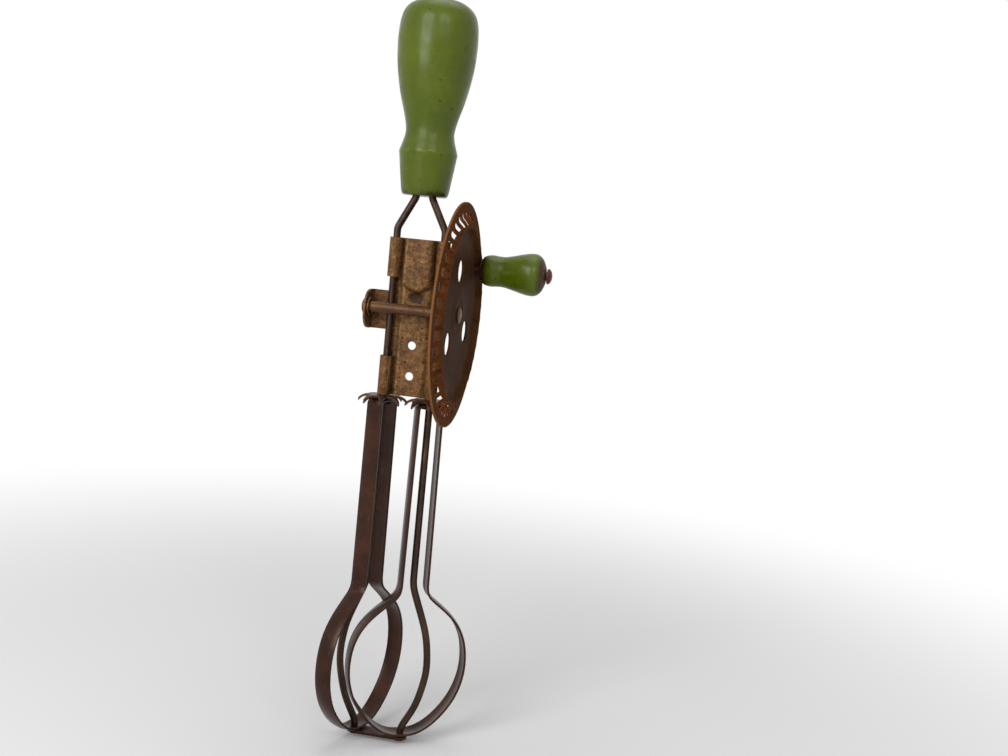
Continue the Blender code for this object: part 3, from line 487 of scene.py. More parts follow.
class Finish:
    """One material being built: a Principled shader fed by layered colours and heights."""

    def __init__(self, name, base, metallic, roughness, specular=0.3):
        self.material = bpy.data.materials.new(name)
        self.material.use_nodes = True
        self.tree = self.material.node_tree
        self.shader = self.tree.nodes["Principled BSDF"]
        self.shader.inputs["Metallic"].default_value = metallic
        self.shader.inputs["Specular IOR Level"].default_value = specular
        self.place = self.tree.nodes.new("ShaderNodeTexCoord").outputs["Object"]
        base_colour = self.tree.nodes.new("ShaderNodeRGB")
        base_colour.outputs[0].default_value = (*base, 1.0)
        self.colour = base_colour.outputs[0]
        self.roughness = roughness
        self.height = 0.0

    def group(self, name, outputs=("Mask",), **values):
        """Place a shared group and return the outputs asked for."""
        tree = bpy.data.node_groups.get(name) or SHARED_GROUPS[name]()
        node = self.tree.nodes.new("ShaderNodeGroup")
        node.node_tree = tree
        self.tree.links.new(self.place, node.inputs["Vector"])
        for label, value in values.items():
            node.inputs[label].default_value = value
        found = [node.outputs[label] for label in outputs]
        return found[0] if len(found) == 1 else found

    def tint(self, mask, tint, strength=1.0):
        """Lay a colour over what is there, where the mask is white."""
        mix = self.tree.nodes.new("ShaderNodeMix")
        mix.data_type = "RGBA"
        share = maths(self.tree, "MULTIPLY", mask, strength)
        self.tree.links.new(share, mix.inputs["Factor"])
        self.tree.links.new(self.colour, mix.inputs["A"])
        mix.inputs["B"].default_value = (*tint, 1.0)
        self.colour = mix.outputs["Result"]

    def roughen(self, mask, amount):
        """Add to the roughness where the mask is white."""
        self.roughness = maths(self.tree, "MULTIPLY_ADD", mask, amount, self.roughness)

    def raise_by(self, height, amount):
        """Add to the height that the bump reads."""
        self.height = maths(self.tree, "MULTIPLY_ADD", height, amount, self.height)

    def layer(self, mask, tint, strength, roughen, within):
        """Tint and roughen by a mask, which may be kept inside another."""
        if within is not None:
            mask = maths(self.tree, "MULTIPLY", within, mask)
        if tint is not None:
            self.tint(mask, tint, strength)
        if roughen:
            self.roughen(mask, roughen)

    def patches(self, tint, strength=1.0, roughen=0.0, within=None, **values):
        self.layer(self.group("patches", **values), tint, strength, roughen, within)

    def streaks(self, tint, strength, ridges=0.0, within=None, **values):
        mask, height = self.group("streaks", ("Mask", "Height"), **values)
        self.layer(mask, tint, strength, 0.0, within)
        if ridges:
            self.raise_by(height, ridges)

    def specks(self, tint, strength, depth, roughen=0.0, **values):
        mask, hollow = self.group("specks", ("Mask", "Depth"), **values)
        self.layer(mask, tint, strength, roughen, None)
        self.raise_by(hollow, depth)

    def axis(self, name):
        parts = self.tree.nodes.new("ShaderNodeSeparateXYZ")
        self.tree.links.new(self.place, parts.inputs[0])
        return parts.outputs[name]

    def reach_from(self, location, scale):
        """How far a place is from the origin once it is scaled and shifted."""
        shift = self.tree.nodes.new("ShaderNodeMapping")
        shift.inputs["Location"].default_value = location
        shift.inputs["Scale"].default_value = scale
        self.tree.links.new(self.place, shift.inputs["Vector"])
        return reach_of(self.tree, shift.outputs[0])

    def near(self, x, z, half_width, half_height):
        """1 inside an upright oval seen from the front, fading to 0 at its edge."""
        reach = self.reach_from((-x / half_width, 0.0, -z / half_height),
                                (1 / half_width, 0.0, 1 / half_height))
        return map_range(self.tree, reach, 0.6, 1.1, 1.0, 0.0)

    def from_axle(self):
        """Distance from the drive axle's centre line."""
        return self.reach_from((0.0, -sizes().axle_y, -sizes().axle_z), (0.0, 1.0, 1.0))

    def done(self, bump=0.4, distance=0.0004):
        """Join the layers to the shader and return the material."""
        self.tree.links.new(self.colour, self.shader.inputs["Base Color"])
        rough = maths(self.tree, "MAXIMUM", self.roughness, 0.08)
        rough = maths(self.tree, "MINIMUM", rough, 0.95)
        self.tree.links.new(rough, self.shader.inputs["Roughness"])
        bumps = self.tree.nodes.new("ShaderNodeBump")
        bumps.inputs["Strength"].default_value = bump
        bumps.inputs["Distance"].default_value = distance
        self.tree.links.new(self.height, bumps.inputs["Height"])
        self.tree.links.new(bumps.outputs["Normal"], self.shader.inputs["Normal"])
        return self.material


def paint_finish(name, paint, shade, wear, along):
    """Old gloss paint on turned wood, dulled in patches and nicked to the wood."""
    tints = colours()
    finish = Finish(name, paint, 0.0, 0.27, 0.25)
    finish.shader.inputs["Coat Roughness"].default_value = 0.10
    finish.shader.inputs["Coat Weight"].default_value = 0.06
    finish.patches(shade, 0.5, Scale=48.0, Detail=6.0, Share=0.5, Softness=0.22)
    finish.patches(tints.paint_light, 0.35, Scale=95.0, Detail=7.0, Share=0.30, Softness=0.14)
    finish.streaks(shade, 0.35, 0.25, Scale=700.0, Share=0.45, Stretch=along)
    finish.patches(None, roughen=0.16, Scale=140.0, Detail=8.0, Share=0.45, Softness=0.1)
    finish.specks(tints.speck, 0.8, 0.5, Scale=520.0, Size=0.24, Share=0.10 + 0.35 * wear)
    finish.specks(tints.nick, 0.9, 1.0, 0.25, Scale=230.0, Size=0.17, Share=0.07 + 0.25 * wear)
    return finish


def handle_paint():
    tints, foot_z, ridge_z = colours(), sizes().handle_foot, -0.0140
    finish = paint_finish("handle_paint", tints.paint, tints.paint_shade, 0.0, (1.0, 1.0, 0.06))
    z = finish.axis("Z")
    foot = map_range(finish.tree, z, foot_z + 0.0025, foot_z + 0.0005)
    finish.patches(tints.handle_grime, 0.85, within=foot, Scale=260.0, Share=0.6, Softness=0.08)
    ridge = maths(finish.tree, "COMPARE", z, ridge_z, 0.0007)
    finish.patches(tints.ridge, 0.3, within=ridge, Scale=330.0, Share=0.45, Softness=0.08)
    return finish.done(0.22)


def knob_enamel():
    tints, foot_x, end_x = colours(), 0.0221, 0.0477
    finish = paint_finish("knob_enamel", tints.knob, tints.knob_shade, 0.8, (0.06, 1.0, 1.0))
    x = finish.axis("X")
    end = map_range(finish.tree, x, end_x - 0.0037, end_x - 0.0011)
    finish.patches(tints.knob_wood, 0.95, 0.3, end, Scale=240.0, Share=0.85, Softness=0.1)
    # Painted shade: the paint darkens smoothly towards the knob's foot at the wheel.
    foot = map_range(finish.tree, x, foot_x + 0.0025, foot_x + 0.0007)
    finish.tint(foot, tints.knob_foot_painted_shade, 0.85)
    return finish.done(0.3)


def plate_metal():
    """Sheet whose plating has gone to a fine golden brown rust with dark pits, with painted shade
    in the dent at the raised panel's foot and painted highlights along the panel's left bend and
    on the left lower barrel.
    """
    tints, axle_z = colours(), sizes().axle_z
    finish = Finish("plate_metal", tints.plate, 0.20, 0.48, 0.2)
    finish.patches(tints.plate_shade, 0.6, Scale=90.0, Detail=8.0, Share=0.5, Softness=0.2)
    finish.patches(tints.rust, 0.35, 0.18, Scale=210.0, Detail=8.0, Share=0.35, Softness=0.08)
    finish.streaks(tints.plate_bare_and_highlight, 0.4, Scale=500.0, Share=0.30, Stretch=(1.0, 1.0, 0.12))
    # Painted highlight along the panel's left bend, in broken patches that also stand for metal
    # rubbed bare there.
    bend = maths(finish.tree, "COMPARE", finish.axis("X"), -0.0052, 0.0005)
    finish.patches(tints.plate_bare_and_highlight, 0.4, within=bend, Scale=420.0, Detail=6.0, Share=0.55,
                   Softness=0.08)
    finish.patches(tints.plate_mottle, 0.62, Scale=620.0, Detail=8.0, Share=0.5, Softness=0.12)
    finish.patches(tints.plate_light, 0.45, Scale=900.0, Detail=6.0, Share=0.22, Softness=0.08)
    # Pale vertical streaks on the left lower barrel: scratches and a painted highlight.
    low = map_range(finish.tree, finish.axis("Z"), axle_z - 0.0175, axle_z - 0.0200)
    aside = map_range(finish.tree, finish.axis("X"), -0.0068, -0.0086)
    lower_barrel = maths(finish.tree, "MULTIPLY", low, aside)
    finish.streaks(tints.plate_bare_and_highlight, 0.6, within=lower_barrel, Scale=900.0, Share=0.62,
                   Stretch=(1.0, 1.0, 0.07))
    # Painted shade: the dent's hollow is darkened with the pits' colour.
    dent = finish.near(0.0, axle_z + DENT_HEIGHT, DENT_WIDTH, DENT_RISE)
    finish.tint(dent, tints.plate_pits_and_dent_shade, 0.85)
    finish.specks(tints.plate_pits_and_dent_shade, 0.75, 0.5, Scale=1500.0, Size=0.46, Share=0.6)
    finish.specks(tints.plate_dot, 0.85, 0.8, Scale=520.0, Size=0.24, Share=0.3)
    finish.raise_by(noise(finish.tree, finish.place, 2600.0, 4.0), 0.3)
    return finish.done(0.5, 0.0002)


def wheel_metal():
    """Dark stamped wheel with rust round its windows and a rubbed rim."""
    tints = colours()
    finish = Finish("wheel_metal", tints.wheel, 0.0, 0.60, 0.02)
    reach = finish.from_axle()
    worn = map_range(finish.tree, reach, 0.0215, 0.0325)
    band = map_range(finish.tree, reach, 0.0325, 0.0350)
    lip = map_range(finish.tree, reach, 0.0428, 0.0435)
    finish.patches(tints.wheel_shade, 0.6, Scale=45.0, Detail=8.0, Share=0.5, Softness=0.2)
    finish.patches(tints.wheel_worn, 0.5, within=worn, Scale=120.0, Detail=8.0, Share=0.6,
                   Softness=0.15)
    finish.patches(tints.wheel_band, 0.8, 0.2, band, Scale=260.0, Detail=8.0, Share=0.6,
                   Softness=0.1)
    finish.tint(lip, tints.wheel_lip, 0.8)
    finish.patches(tints.rust, 0.35, 0.2, Scale=300.0, Detail=8.0, Share=0.18, Softness=0.06)
    finish.specks(tints.metal_pit, 0.65, 0.5, Scale=900.0, Size=0.38, Share=0.45)
    finish.streaks(tints.wheel_rub, 0.3, Scale=420.0, Share=0.30, Stretch=(1.0, 0.12, 1.0))
    finish.raise_by(noise(finish.tree, finish.place, 1800.0, 5.0), 0.25)
    return finish.done(0.4, 0.0002)


def brown_steel(name, base, shade, metallic=0.4, roughness=0.42, stretch=(1.0, 1.0, 0.05),
                rubs=0.25):
    """Steel under a brown patina, half glossy, streaked where it was drawn or rubbed."""
    tints = colours()
    finish = Finish(name, base, metallic, roughness)
    finish.patches(shade, 0.7, Scale=80.0, Detail=8.0, Share=0.55, Softness=0.18)
    finish.patches(tints.rust, 0.3, 0.22, Scale=320.0, Detail=8.0, Share=0.16, Softness=0.07)
    finish.streaks(tints.steel_rub, rubs, 0.2, Scale=1100.0, Share=0.42, Stretch=stretch)
    finish.specks(tints.metal_pit, 0.7, 0.5, Scale=900.0, Size=0.36, Share=0.4)
    return finish.done(0.4, 0.0002)


def finish_named(name):
    """The finish of that name, made the first time that it is asked for."""
    known = bpy.data.materials.get(name)
    if known:
        return known
    special = {"handle_paint": handle_paint, "knob_enamel": knob_enamel,
               "plate_metal": plate_metal, "wheel_metal": wheel_metal}
    if name in special:
        return special[name]()
    tints = colours()
    steels = {
        "dasher_metal": (tints.steel, tints.steel_shade, 0.45, 0.28),
        "rod_metal": (tints.rod, tints.rod_shade, 0.5, 0.34, (1.0, 1.0, 0.05), 0.4),
        "axle_metal": (tints.axle, tints.plate_shade, 0.4, 0.42, (0.05, 1.0, 1.0), 0.4),
        "rivet_metal": (tints.rivet, tints.steel_shade, 0.4, 0.40),
        "pinion_metal": (tints.pinion, tints.steel_shade, 0.4, 0.42, (1.0, 1.0, 1.0)),
    }
    return brown_steel(name, *steels[name])


# Pieces
def in_metres(points):
    return [(across / 1000, up / 1000) for across, up in points]


def handle_outline():
    """The handle's side, read off its silhouette in millimetres: dome to waist, ridge to foot."""
    given = sizes()
    upper = [(6.6, 43.2), (8.4, 42.75), (10.4, 41.8), (12.5, 40.2), (14.0, 37.9), (14.9, 34.6),
             (15.25, 30.5), (15.3, 26.0), (15.0, 21.0), (14.4, 16.0), (13.5, 11.0), (12.2, 5.6),
             (10.9, 1.2), (9.9, -2.6), (9.4, -6.0), (9.75, -8.6), (10.5, -11.2), (11.35, -14.0)]
    lower = [(11.35, -14.0), (11.1, -15.6), (10.8, -18.0), (10.3, -21.6), (9.75, -25.6),
             (9.3, -28.6), (8.8, -30.1)]
    foot_radius = 0.0082
    side = in_metres(smooth_curve(upper, 6)[:-1] + smooth_curve(lower, 6))
    return [(0.0, given.handle_top)] + side + [(foot_radius, given.handle_foot),
                                               (0.0, given.handle_foot)]


class BEATER_OT_handle(bpy.types.Operator):
    """Make the turned and painted wooden handle"""
    bl_idname = "beater.handle"
    bl_label = "Handle"

    def execute(self, context):
        mesh = turned_mesh(handle_outline(), 128, Matrix())
        add_piece("turned_handle", mesh, finish_named("handle_paint"), "frame", ("handle",),
                  60.0)
        return {"FINISHED"}


def knob_centre(x):
    given = sizes()
    return (x, given.axle_y + given.knob_throw * math.cos(given.knob_angle),
            given.axle_z + given.knob_throw * math.sin(given.knob_angle))


def knob_outline(base, end):
    radius = 0.0086
    span = end - base
    shares = [(0.0, 0.62), (0.05, 0.70), (0.14, 0.745), (0.24, 0.72), (0.34, 0.72), (0.47, 0.80),
              (0.62, 0.92), (0.76, 0.995), (0.86, 0.97), (0.935, 0.80), (0.98, 0.55), (1.0, 0.38)]
    side = smooth_curve([(radius * r, span * z) for z, r in shares], 6)
    return [(KNOB_BORE, 0.0)] + side + [(KNOB_BORE, span)]


class BEATER_OT_knob(bpy.types.Operator):
    """Make the crank knob with its washer and its riveted stud"""
    bl_idname = "beater.knob"
    bl_label = "Crank knob"

    def execute(self, context):
        low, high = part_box("crank_knob")
        place = along_x(*knob_centre(low[0]))
        add_piece("turned_knob", turned_mesh(knob_outline(low[0], high[0]), 96, place),
                  finish_named("knob_enamel"), "crank_knob", ("crank_knob",), 60.0)
        low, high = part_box("knob_washer")
        radius = (high[1] - low[1]) / 2
        thick = high[0] - low[0]
        round_over = thick * 0.3
        ring = [(KNOB_BORE, 0.0), (radius - round_over, 0.0), (radius, round_over),
                (radius, thick - round_over), (radius - round_over, thick), (KNOB_BORE, thick)]
        add_piece("knob_ring", turned_mesh(ring, 64, along_x(*knob_centre(low[0]))),
                  finish_named("rivet_metal"), "drive_wheel", ("knob_washer",))
        low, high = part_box("knob_stud")
        span = high[0] - low[0]
        head, shank, rise, back = 0.00315, 0.0016, 0.0020, 0.0009
        stud = [(0.0, 0.0), (shank * 1.3, 0.0), (head * 0.9, back * 0.3), (head, back * 0.6),
                (head, back), (shank, back), (shank, span - rise), (head * 0.97, span - rise)]
        stud += dome(head, span - rise, rise, 0.12, 10)
        add_piece("riveted_stud", turned_mesh(stud, 64, along_x(*knob_centre(low[0]))),
                  finish_named("rivet_metal"), "drive_wheel", ("knob_stud",))
        return {"FINISHED"}


def dasher_heights():
    """Heights over the axle of a loop's top, its bulb's top and its foot, all mid sheet."""
    given = sizes()
    pinion_foot = given.plate_bottom - RUNNING_GAP - PINION_SHEET
    loop_top = pinion_foot - RUNNING_GAP - given.strip_thickness / 2
    bulb_top = loop_top - given.neck_length
    return loop_top, bulb_top, bulb_top - given.bulb_height


def rod_line(side):
    """The centre line of a rod: splayed under the handle, straight, then bowed round the bulb."""
    given = sizes()
    _, bulb_top, loop_foot = dasher_heights()
    in_handle, splay_over_plate, past_loop = 0.0230, 0.0038, 0.0022
    entry = given.handle_foot - given.axle_z
    bow_top, bow_foot = bulb_top + 0.0027, loop_foot + 0.0016
    near, wide = given.splay_spacing / 2, given.spacing / 2
    corners = [(near, 0.0, entry + in_handle), (near, 0.0, entry - RUNNING_GAP),
               (wide, 0.0, given.plate_top + splay_over_plate), (wide, 0.0, bow_top)]
    path = [tuple(point) for point in rounded_path(corners, given.rod_bend)]
    shares = [(-0.07, 0.0), (-0.02, 0.006), (0.04, 0.095), (0.265, 0.69), (0.395, 0.91),
              (0.55, 1.0), (0.685, 0.87), (0.83, 0.58), (0.97, 0.08), (1.01, 0.0)]
    bow = smooth_curve([(wide + given.rod_bow * out, 0.0, bow_top - (bow_top - bow_foot) * down)
                        for down, out in shares], 10)
    bow.append((wide, 0.0, loop_foot - past_loop))
    path = path[:-1] + eased(even_points(bow, 0.0007), 9)
    return [(side * x, y, z + given.axle_z) for x, y, z in path]


def wire_mesh(points, radius):
    """A round wire along points, by a curve with depth."""
    curve = bpy.data.curves.new("wire_line", "CURVE")
    curve.dimensions = "3D"
    curve.bevel_depth = radius
    curve.bevel_resolution = 6
    curve.use_fill_caps = True
    line = curve.splines.new("POLY")
    line.points.add(len(points) - 1)
    for point, place in zip(line.points, points):
        point.co = (*place, 1.0)
    guide = placed("wire_line", curve)
    graph = bpy.context.evaluated_depsgraph_get()
    data = bpy.data.meshes.new_from_object(guide.evaluated_get(graph))
    mesh = bmesh.new()
    mesh.from_mesh(data)
    bpy.data.objects.remove(guide, do_unlink=True)
    bpy.data.meshes.remove(data)
    weld(mesh)
    return mesh


class BEATER_OT_rods(bpy.types.Operator):
    """Bend the two wire rods and peen their heads under the strap"""
    bl_idname = "beater.rods"
    bl_label = "Rods"

    def execute(self, context):
        given = sizes()
        for name, side in (("left_rod", -1), ("right_rod", 1)):
            mesh = wire_mesh(rod_line(side), given.rod_diameter / 2)
            add_piece(name.replace("rod", "wire"), mesh, finish_named("rod_metal"), "frame",
                      (name,))
            low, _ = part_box(name)
            head, rise, bulge, steps = 0.0022, 0.0009, 0.8, 6
            turns = [math.pi / 2 * step / steps for step in range(steps + 1)]
            outline = [(head * math.sin(turn), rise * bulge * (1 - math.cos(turn)))
                       for turn in turns] + [(head, rise), (0.0, rise)]
            place = Matrix.Translation((side * given.spacing / 2, 0.0, low[2]))
            add_piece(name.replace("rod", "rod_head"), turned_mesh(outline, 40, place),
                      finish_named("rod_metal"), "frame", (), 60.0)
        return {"FINISHED"}


def sheet_back():
    """How far behind the rods' middle the sheet's own middle lies."""
    return sizes().rod_diameter / 2 + RUNNING_GAP + sizes().sheet / 2


def plate_depth(x, z):
    """How far back the sheet's middle lies: at the rods, in the raised panel and below it."""
    half, step, raised, flat = 0.0048, 0.0022, 0.0029, 0.0009
    panel_foot, foot_curve, foot_step = 0.0086, 0.0022, 0.0018
    across = smooth_step((half + step - abs(x)) / step)
    reach = max(1 - (x / half) ** 2, 0.0)
    upper = smooth_step((z - panel_foot + foot_curve * reach) / foot_step)
    dent = max(1 - (x / DENT_WIDTH) ** 2 - ((z - DENT_HEIGHT) / DENT_RISE) ** 2, 0.0) ** 0.5
    return sheet_back() - (flat + (raised - flat) * upper) * across + DENT_DEPTH * dent


def spread(breaks, longest):
    """Row heights between breaks, no two further apart than the longest step."""
    rows = [breaks[0]]
    for low, high in zip(breaks, breaks[1:]):
        count = max(1, math.ceil((high - low) / longest))
        rows += [low + (high - low) * i / count for i in range(1, count + 1)]
    return rows


def boundary_column(mesh, x, low, high):
    """The edges up one side of the sheet between two heights."""
    return [e for e in mesh.edges
            if all(abs(v.co.x - x) < 1e-6 and low - 1e-6 <= v.co.z <= high + 1e-6
                   for v in e.verts)]


def extruded(mesh, edges):
    """Extrude edges; returns the new edges and vertices."""
    out = bmesh.ops.extrude_edge_only(mesh, edges=edges)["geom"]
    verts = [item for item in out if isinstance(item, bmesh.types.BMVert)]
    made = set(verts)
    return ([item for item in out if isinstance(item, bmesh.types.BMEdge)
             and made.issuperset(item.verts)], verts)


def build_ear(mesh, side, wall_x, low, high):
    """Bend one bearing ear out of the sheet: out past the rod, round and forward."""
    rod_x, back = side * sizes().spacing / 2, sheet_back()
    bend, reach = 0.0014, 0.0086
    start = wall_x - side * bend
    edges, verts = extruded(mesh, boundary_column(mesh, rod_x, low, high))
    bmesh.ops.translate(mesh, verts=verts, vec=(start - rod_x, 0.0, 0.0))
    spun = bmesh.ops.spin(mesh, geom=edges, cent=(start, back - bend, 0.0), axis=(0.0, 0.0, 1.0),
                          angle=-side * math.pi / 2, steps=8)["geom_last"]
    edges = [item for item in spun if isinstance(item, bmesh.types.BMEdge)]
    middle = (low + high) / 2
    wall_start = back - bend
    shares = (0.12, 0.25, 0.36, 0.45, 0.54, 0.62, 0.70, 0.77, 0.83, 0.88, 0.92, 0.95, 0.975, 0.99)
    heights = {}
    for share in shares:
        edges, verts = extruded(mesh, edges)
        scale = math.sqrt(1 - share ** 3)
        previous = heights or {round(v.co.z, 7): v.co.z for v in verts}
        heights = {}
        for vert in verts:
            original = previous.get(round(vert.co.z, 7), vert.co.z)
            vert.co.y = wall_start - (reach + wall_start) * share
            vert.co.z = middle + (original - middle) * scale
            heights[round(vert.co.z, 7)] = original


class BEATER_OT_plate(bpy.types.Operator):
    """Stamp the gear plate with its panel, its four barrels and its two ears"""
    bl_idname = "beater.plate"
    bl_label = "Gear plate"

    def execute(self, context):
        given = sizes()
        barrel, ear_low, ear_high = 0.0155, -0.0088, 0.0066
        left_ear, right_ear, barrel_wrap = -0.0180, 0.0130, math.radians(318.0)
        low, high = given.plate_bottom, given.plate_top
        rows = spread([low, low + barrel, ear_low, ear_high, high - barrel, high], 0.0007)
        columns = 48
        mesh = bmesh.new()
        bmesh.ops.create_grid(mesh, x_segments=columns, y_segments=len(rows) - 1, size=0.5)
        for vert in mesh.verts:
            x = vert.co.x * given.spacing
            z = rows[round((vert.co.y + 0.5) * (len(rows) - 1))]
            vert.co = (x, plate_depth(x, z), z)
        for side in (-1, 1):
            edge_x = side * given.spacing / 2
            for start, end in ((low, low + barrel), (high - barrel, high)):
                edges = boundary_column(mesh, edge_x, start, end)
                bmesh.ops.spin(mesh, geom=edges, cent=(edge_x, 0.0, 0.0), axis=(0.0, 0.0, 1.0),
                               angle=-side * barrel_wrap, steps=36)
        build_ear(mesh, -1, left_ear, ear_low, ear_high)
        build_ear(mesh, 1, right_ear, ear_low, ear_high)
        weld(mesh)
        bmesh.ops.translate(mesh, verts=mesh.verts, vec=(0.0, 0.0, given.axle_z))
        plate = add_piece("stamped_plate", mesh, finish_named("plate_metal"), "frame",
                          ("gear_plate",))
        sheet_wall(plate, given.sheet)
        hole = 0.00165
        back = Matrix.Rotation(math.pi / 2, 4, "X")
        pins = [cutting_pin(hole, -0.006, 0.006,
                            Matrix.Translation((0.0, 0.0, given.axle_z + height)) @ back)
                for height in (-0.0142, -0.0265)]
        pins.append(cutting_pin(AXLE_BORE, -0.022, 0.016,
                                along_x(0.0, given.axle_y, given.axle_z)))
        cut_holes(plate, pins)
        bake_modifiers(plate, pins)
        bevel_edges(plate, EDGE_ROUND, 2, 50.0)
        return {"FINISHED"}


def wheel_radii():
    """Radii of the wheel's rim, of its windows' outer and inner ends and of its flat disc."""
    rim = sizes().wheel_diameter / 2
    lip, window, disc_inset = 0.0039, 0.0049, 0.0014
    return rim, rim - lip, rim - lip - window, rim - lip - window - disc_inset


def wheel_outline():
    """The wheel sheet's outer face as (radius, height over the disc), bends rounded."""
    rim, window_out, window_in, disc = wheel_radii()
    rise, crest = 0.0023, window_in + 0.0006
    wall, foot = crest - 0.0013, crest + 0.0030
    return [
        (AXLE_BORE, 0.0), (0.0050, 0.0), (0.0068, 0.0), (0.0075, 0.0002), (0.0082, 0.0),
        (0.0150, 0.0), (0.0250, 0.0), (disc - 0.0012, 0.0), (disc - 0.0005, 0.0001),
        (disc - 0.0001, 0.0004), (wall - 0.0003, rise - 0.0005), (wall, rise - 0.0001),
        (wall + 0.0003, rise), (window_in, rise), (crest - 0.0002, rise),
        (crest + 0.0003, rise - 0.0002), (crest + 0.0012, rise * 0.62),
        (crest + 0.0021, rise * 0.24), (foot - 0.0003, 0.0001), (foot + 0.0003, 0.0),
        (window_out, 0.0), (rim - 0.0015, 0.0), (rim - 0.0004, 0.0), (rim, 0.0)]


def open_windows(mesh, per_window, open_columns, corner):
    """Delete the faces of each window, and round the windows' corners."""
    _, outer, inner, _ = wheel_radii()
    step_angle = 2 * math.pi / (WINDOWS * per_window)
    gone = []
    for face in mesh.faces:
        middle = face.calc_center_median()
        column = int((math.atan2(middle.y, middle.x) % (2 * math.pi)) / step_angle + 2)
        if inner < middle.xy.length < outer and column % per_window < open_columns:
            gone.append(face)
    bmesh.ops.delete(mesh, geom=gone, context="FACES")
    corners = [v for v in mesh.verts
               if v.is_boundary and len(v.link_edges) == 4 and len(v.link_faces) == 3
               and min(abs(v.co.xy.length - inner), abs(v.co.xy.length - outer)) < 1e-5]
    bmesh.ops.bevel(mesh, geom=corners, offset=corner, offset_type="OFFSET", segments=2,
                    profile=0.5, affect="VERTICES", material=-1)


class BEATER_OT_wheel(bpy.types.Operator):
    """Stamp the crown wheel with its ring of windows"""
    bl_idname = "beater.wheel"
    bl_label = "Crown wheel"

    def execute(self, context):
        given = sizes()
        per_window, open_columns = 6, 4
        mesh = bmesh.new()
        points = [mesh.verts.new((radius, 0.0, height)) for radius, height in wheel_outline()]
        edges = [mesh.edges.new(pair) for pair in zip(points, points[1:])]
        bmesh.ops.spin(mesh, geom=points + edges, cent=(0.0, 0.0, 0.0), axis=(0.0, 0.0, 1.0),
                       angle=2 * math.pi, steps=WINDOWS * per_window, use_merge=True)
        bmesh.ops.remove_doubles(mesh, verts=mesh.verts, dist=1e-7)
        open_windows(mesh, per_window, open_columns, 0.00035)
        bmesh.ops.recalc_face_normals(mesh, faces=mesh.faces)
        bmesh.ops.transform(mesh, matrix=along_x(given.wheel_x, given.axle_y, given.axle_z),
                            verts=mesh.verts)
        if sum(face.normal.x for face in mesh.faces) < 0:
            bmesh.ops.reverse_faces(mesh, faces=mesh.faces)
        wheel = add_piece("stamped_wheel", mesh, finish_named("wheel_metal"), "drive_wheel",
                          ("drive_wheel",))
        sheet_wall(wheel, given.sheet, -1.0)
        _, _, _, disc = wheel_radii()
        hole, stud_bore, ring, first_turn = 0.0046, 0.0019, disc * 0.518, -24.0
        pins = []
        for index in range(3):
            turn = math.radians(first_turn + index * 120.0)
            place = (given.wheel_x, given.axle_y + ring * math.cos(turn),
                     given.axle_z + ring * math.sin(turn))
            pins.append(cutting_pin(hole, -0.004, 0.004, along_x(*place)))
        pins.append(cutting_pin(stud_bore, -0.004, 0.001, along_x(*knob_centre(given.wheel_x))))
        cut_holes(wheel, pins)
        bake_modifiers(wheel, pins)
        bevel_edges(wheel, EDGE_ROUND, 2, 50.0)
        return {"FINISHED"}


class BEATER_OT_axle(bpy.types.Operator):
    """Turn the drive axle with its heads, its washer and the wheel's collar"""
    bl_idname = "beater.axle"
    bl_label = "Drive axle"

    def execute(self, context):
        given = sizes()
        low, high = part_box("drive_axle")
        span = high[0] - low[0]
        shaft, head, rise = 0.0021, 0.0031, 0.0010
        outline = [(0.0, 0.0), (shaft * 0.9, 0.0), (shaft * 1.15, rise * 0.15),
                   (head * 0.96, rise * 0.55), (head, rise * 0.75), (head, rise), (shaft, rise),
                   (shaft, span - rise), (head, span - rise)]
        outline += dome(head, span - rise, rise, 0.2, 8)
        place = along_x(low[0], given.axle_y, given.axle_z)
        add_piece("turned_axle", turned_mesh(outline, 64, place), finish_named("axle_metal"),
                  "drive_wheel", ("drive_axle",))
        for node in ("axle_washer", "wheel_collar"):
            low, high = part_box(node)
            radius, thick = (high[1] - low[1]) / 2, high[0] - low[0]
            edge = min(0.0003, thick * 0.3)
            inset = edge * 0.3
            ring = [(AXLE_BORE, 0.0), (radius - edge, 0.0), (radius - inset, inset),
                    (radius, edge), (radius, thick - edge), (radius - inset, thick - inset),
                    (radius - edge, thick), (AXLE_BORE, thick)]
            place = along_x(low[0], given.axle_y, given.axle_z)
            name = "thrust_ring" if node == "axle_washer" else "spacing_collar"
            add_piece(name, turned_mesh(ring, 64, place), finish_named("axle_metal"),
                      "drive_wheel", (node,))
        return {"FINISHED"}


def merged_copy(node):
    """A copy of a frame solid with its loose triangles joined into clean faces."""
    mesh = bmesh.new()
    mesh.from_mesh(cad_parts[node].data)
    mesh.transform(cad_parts[node].matrix_world)
    bmesh.ops.remove_doubles(mesh, verts=mesh.verts, dist=2e-6)
    bmesh.ops.dissolve_limit(mesh, angle_limit=math.radians(2.0), verts=mesh.verts,
                             edges=mesh.edges)
    return mesh


class BEATER_OT_pinions(bpy.types.Operator):
    """Press the two pronged pinions and the eyelets that clamp them"""
    bl_idname = "beater.pinions"
    bl_label = "Pinions"

    def execute(self, context):
        given = sizes()
        for side, label in ((-1, "left"), (1, "right")):
            piece = add_piece(label + "_star", merged_copy(label + "_pinion"),
                              finish_named("pinion_metal"), label + "_dasher",
                              (label + "_pinion",), 40.0)
            bevel_edges(piece, EDGE_ROUND, 2, 45.0)
            low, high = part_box(label + "_eyelet")
            tall, flange = high[2] - low[2], (high[0] - low[0]) / 2
            tube, thick, edge, lip = 0.00225, 0.0006, 0.0002, 0.0001
            outline = [(ROD_BORE, 0.0), (flange - edge, 0.0), (flange, edge),
                       (flange, thick - edge), (flange - edge, thick), (tube, thick),
                       (tube, tall - lip), (tube - lip, tall), (ROD_BORE, tall)]
            place = Matrix.Translation((side * given.spacing / 2, 0.0, low[2]))
            add_piece(label + "_ferrule", turned_mesh(outline, 48, place),
                      finish_named("pinion_metal"), label + "_dasher", (label + "_eyelet",))
        return {"FINISHED"}


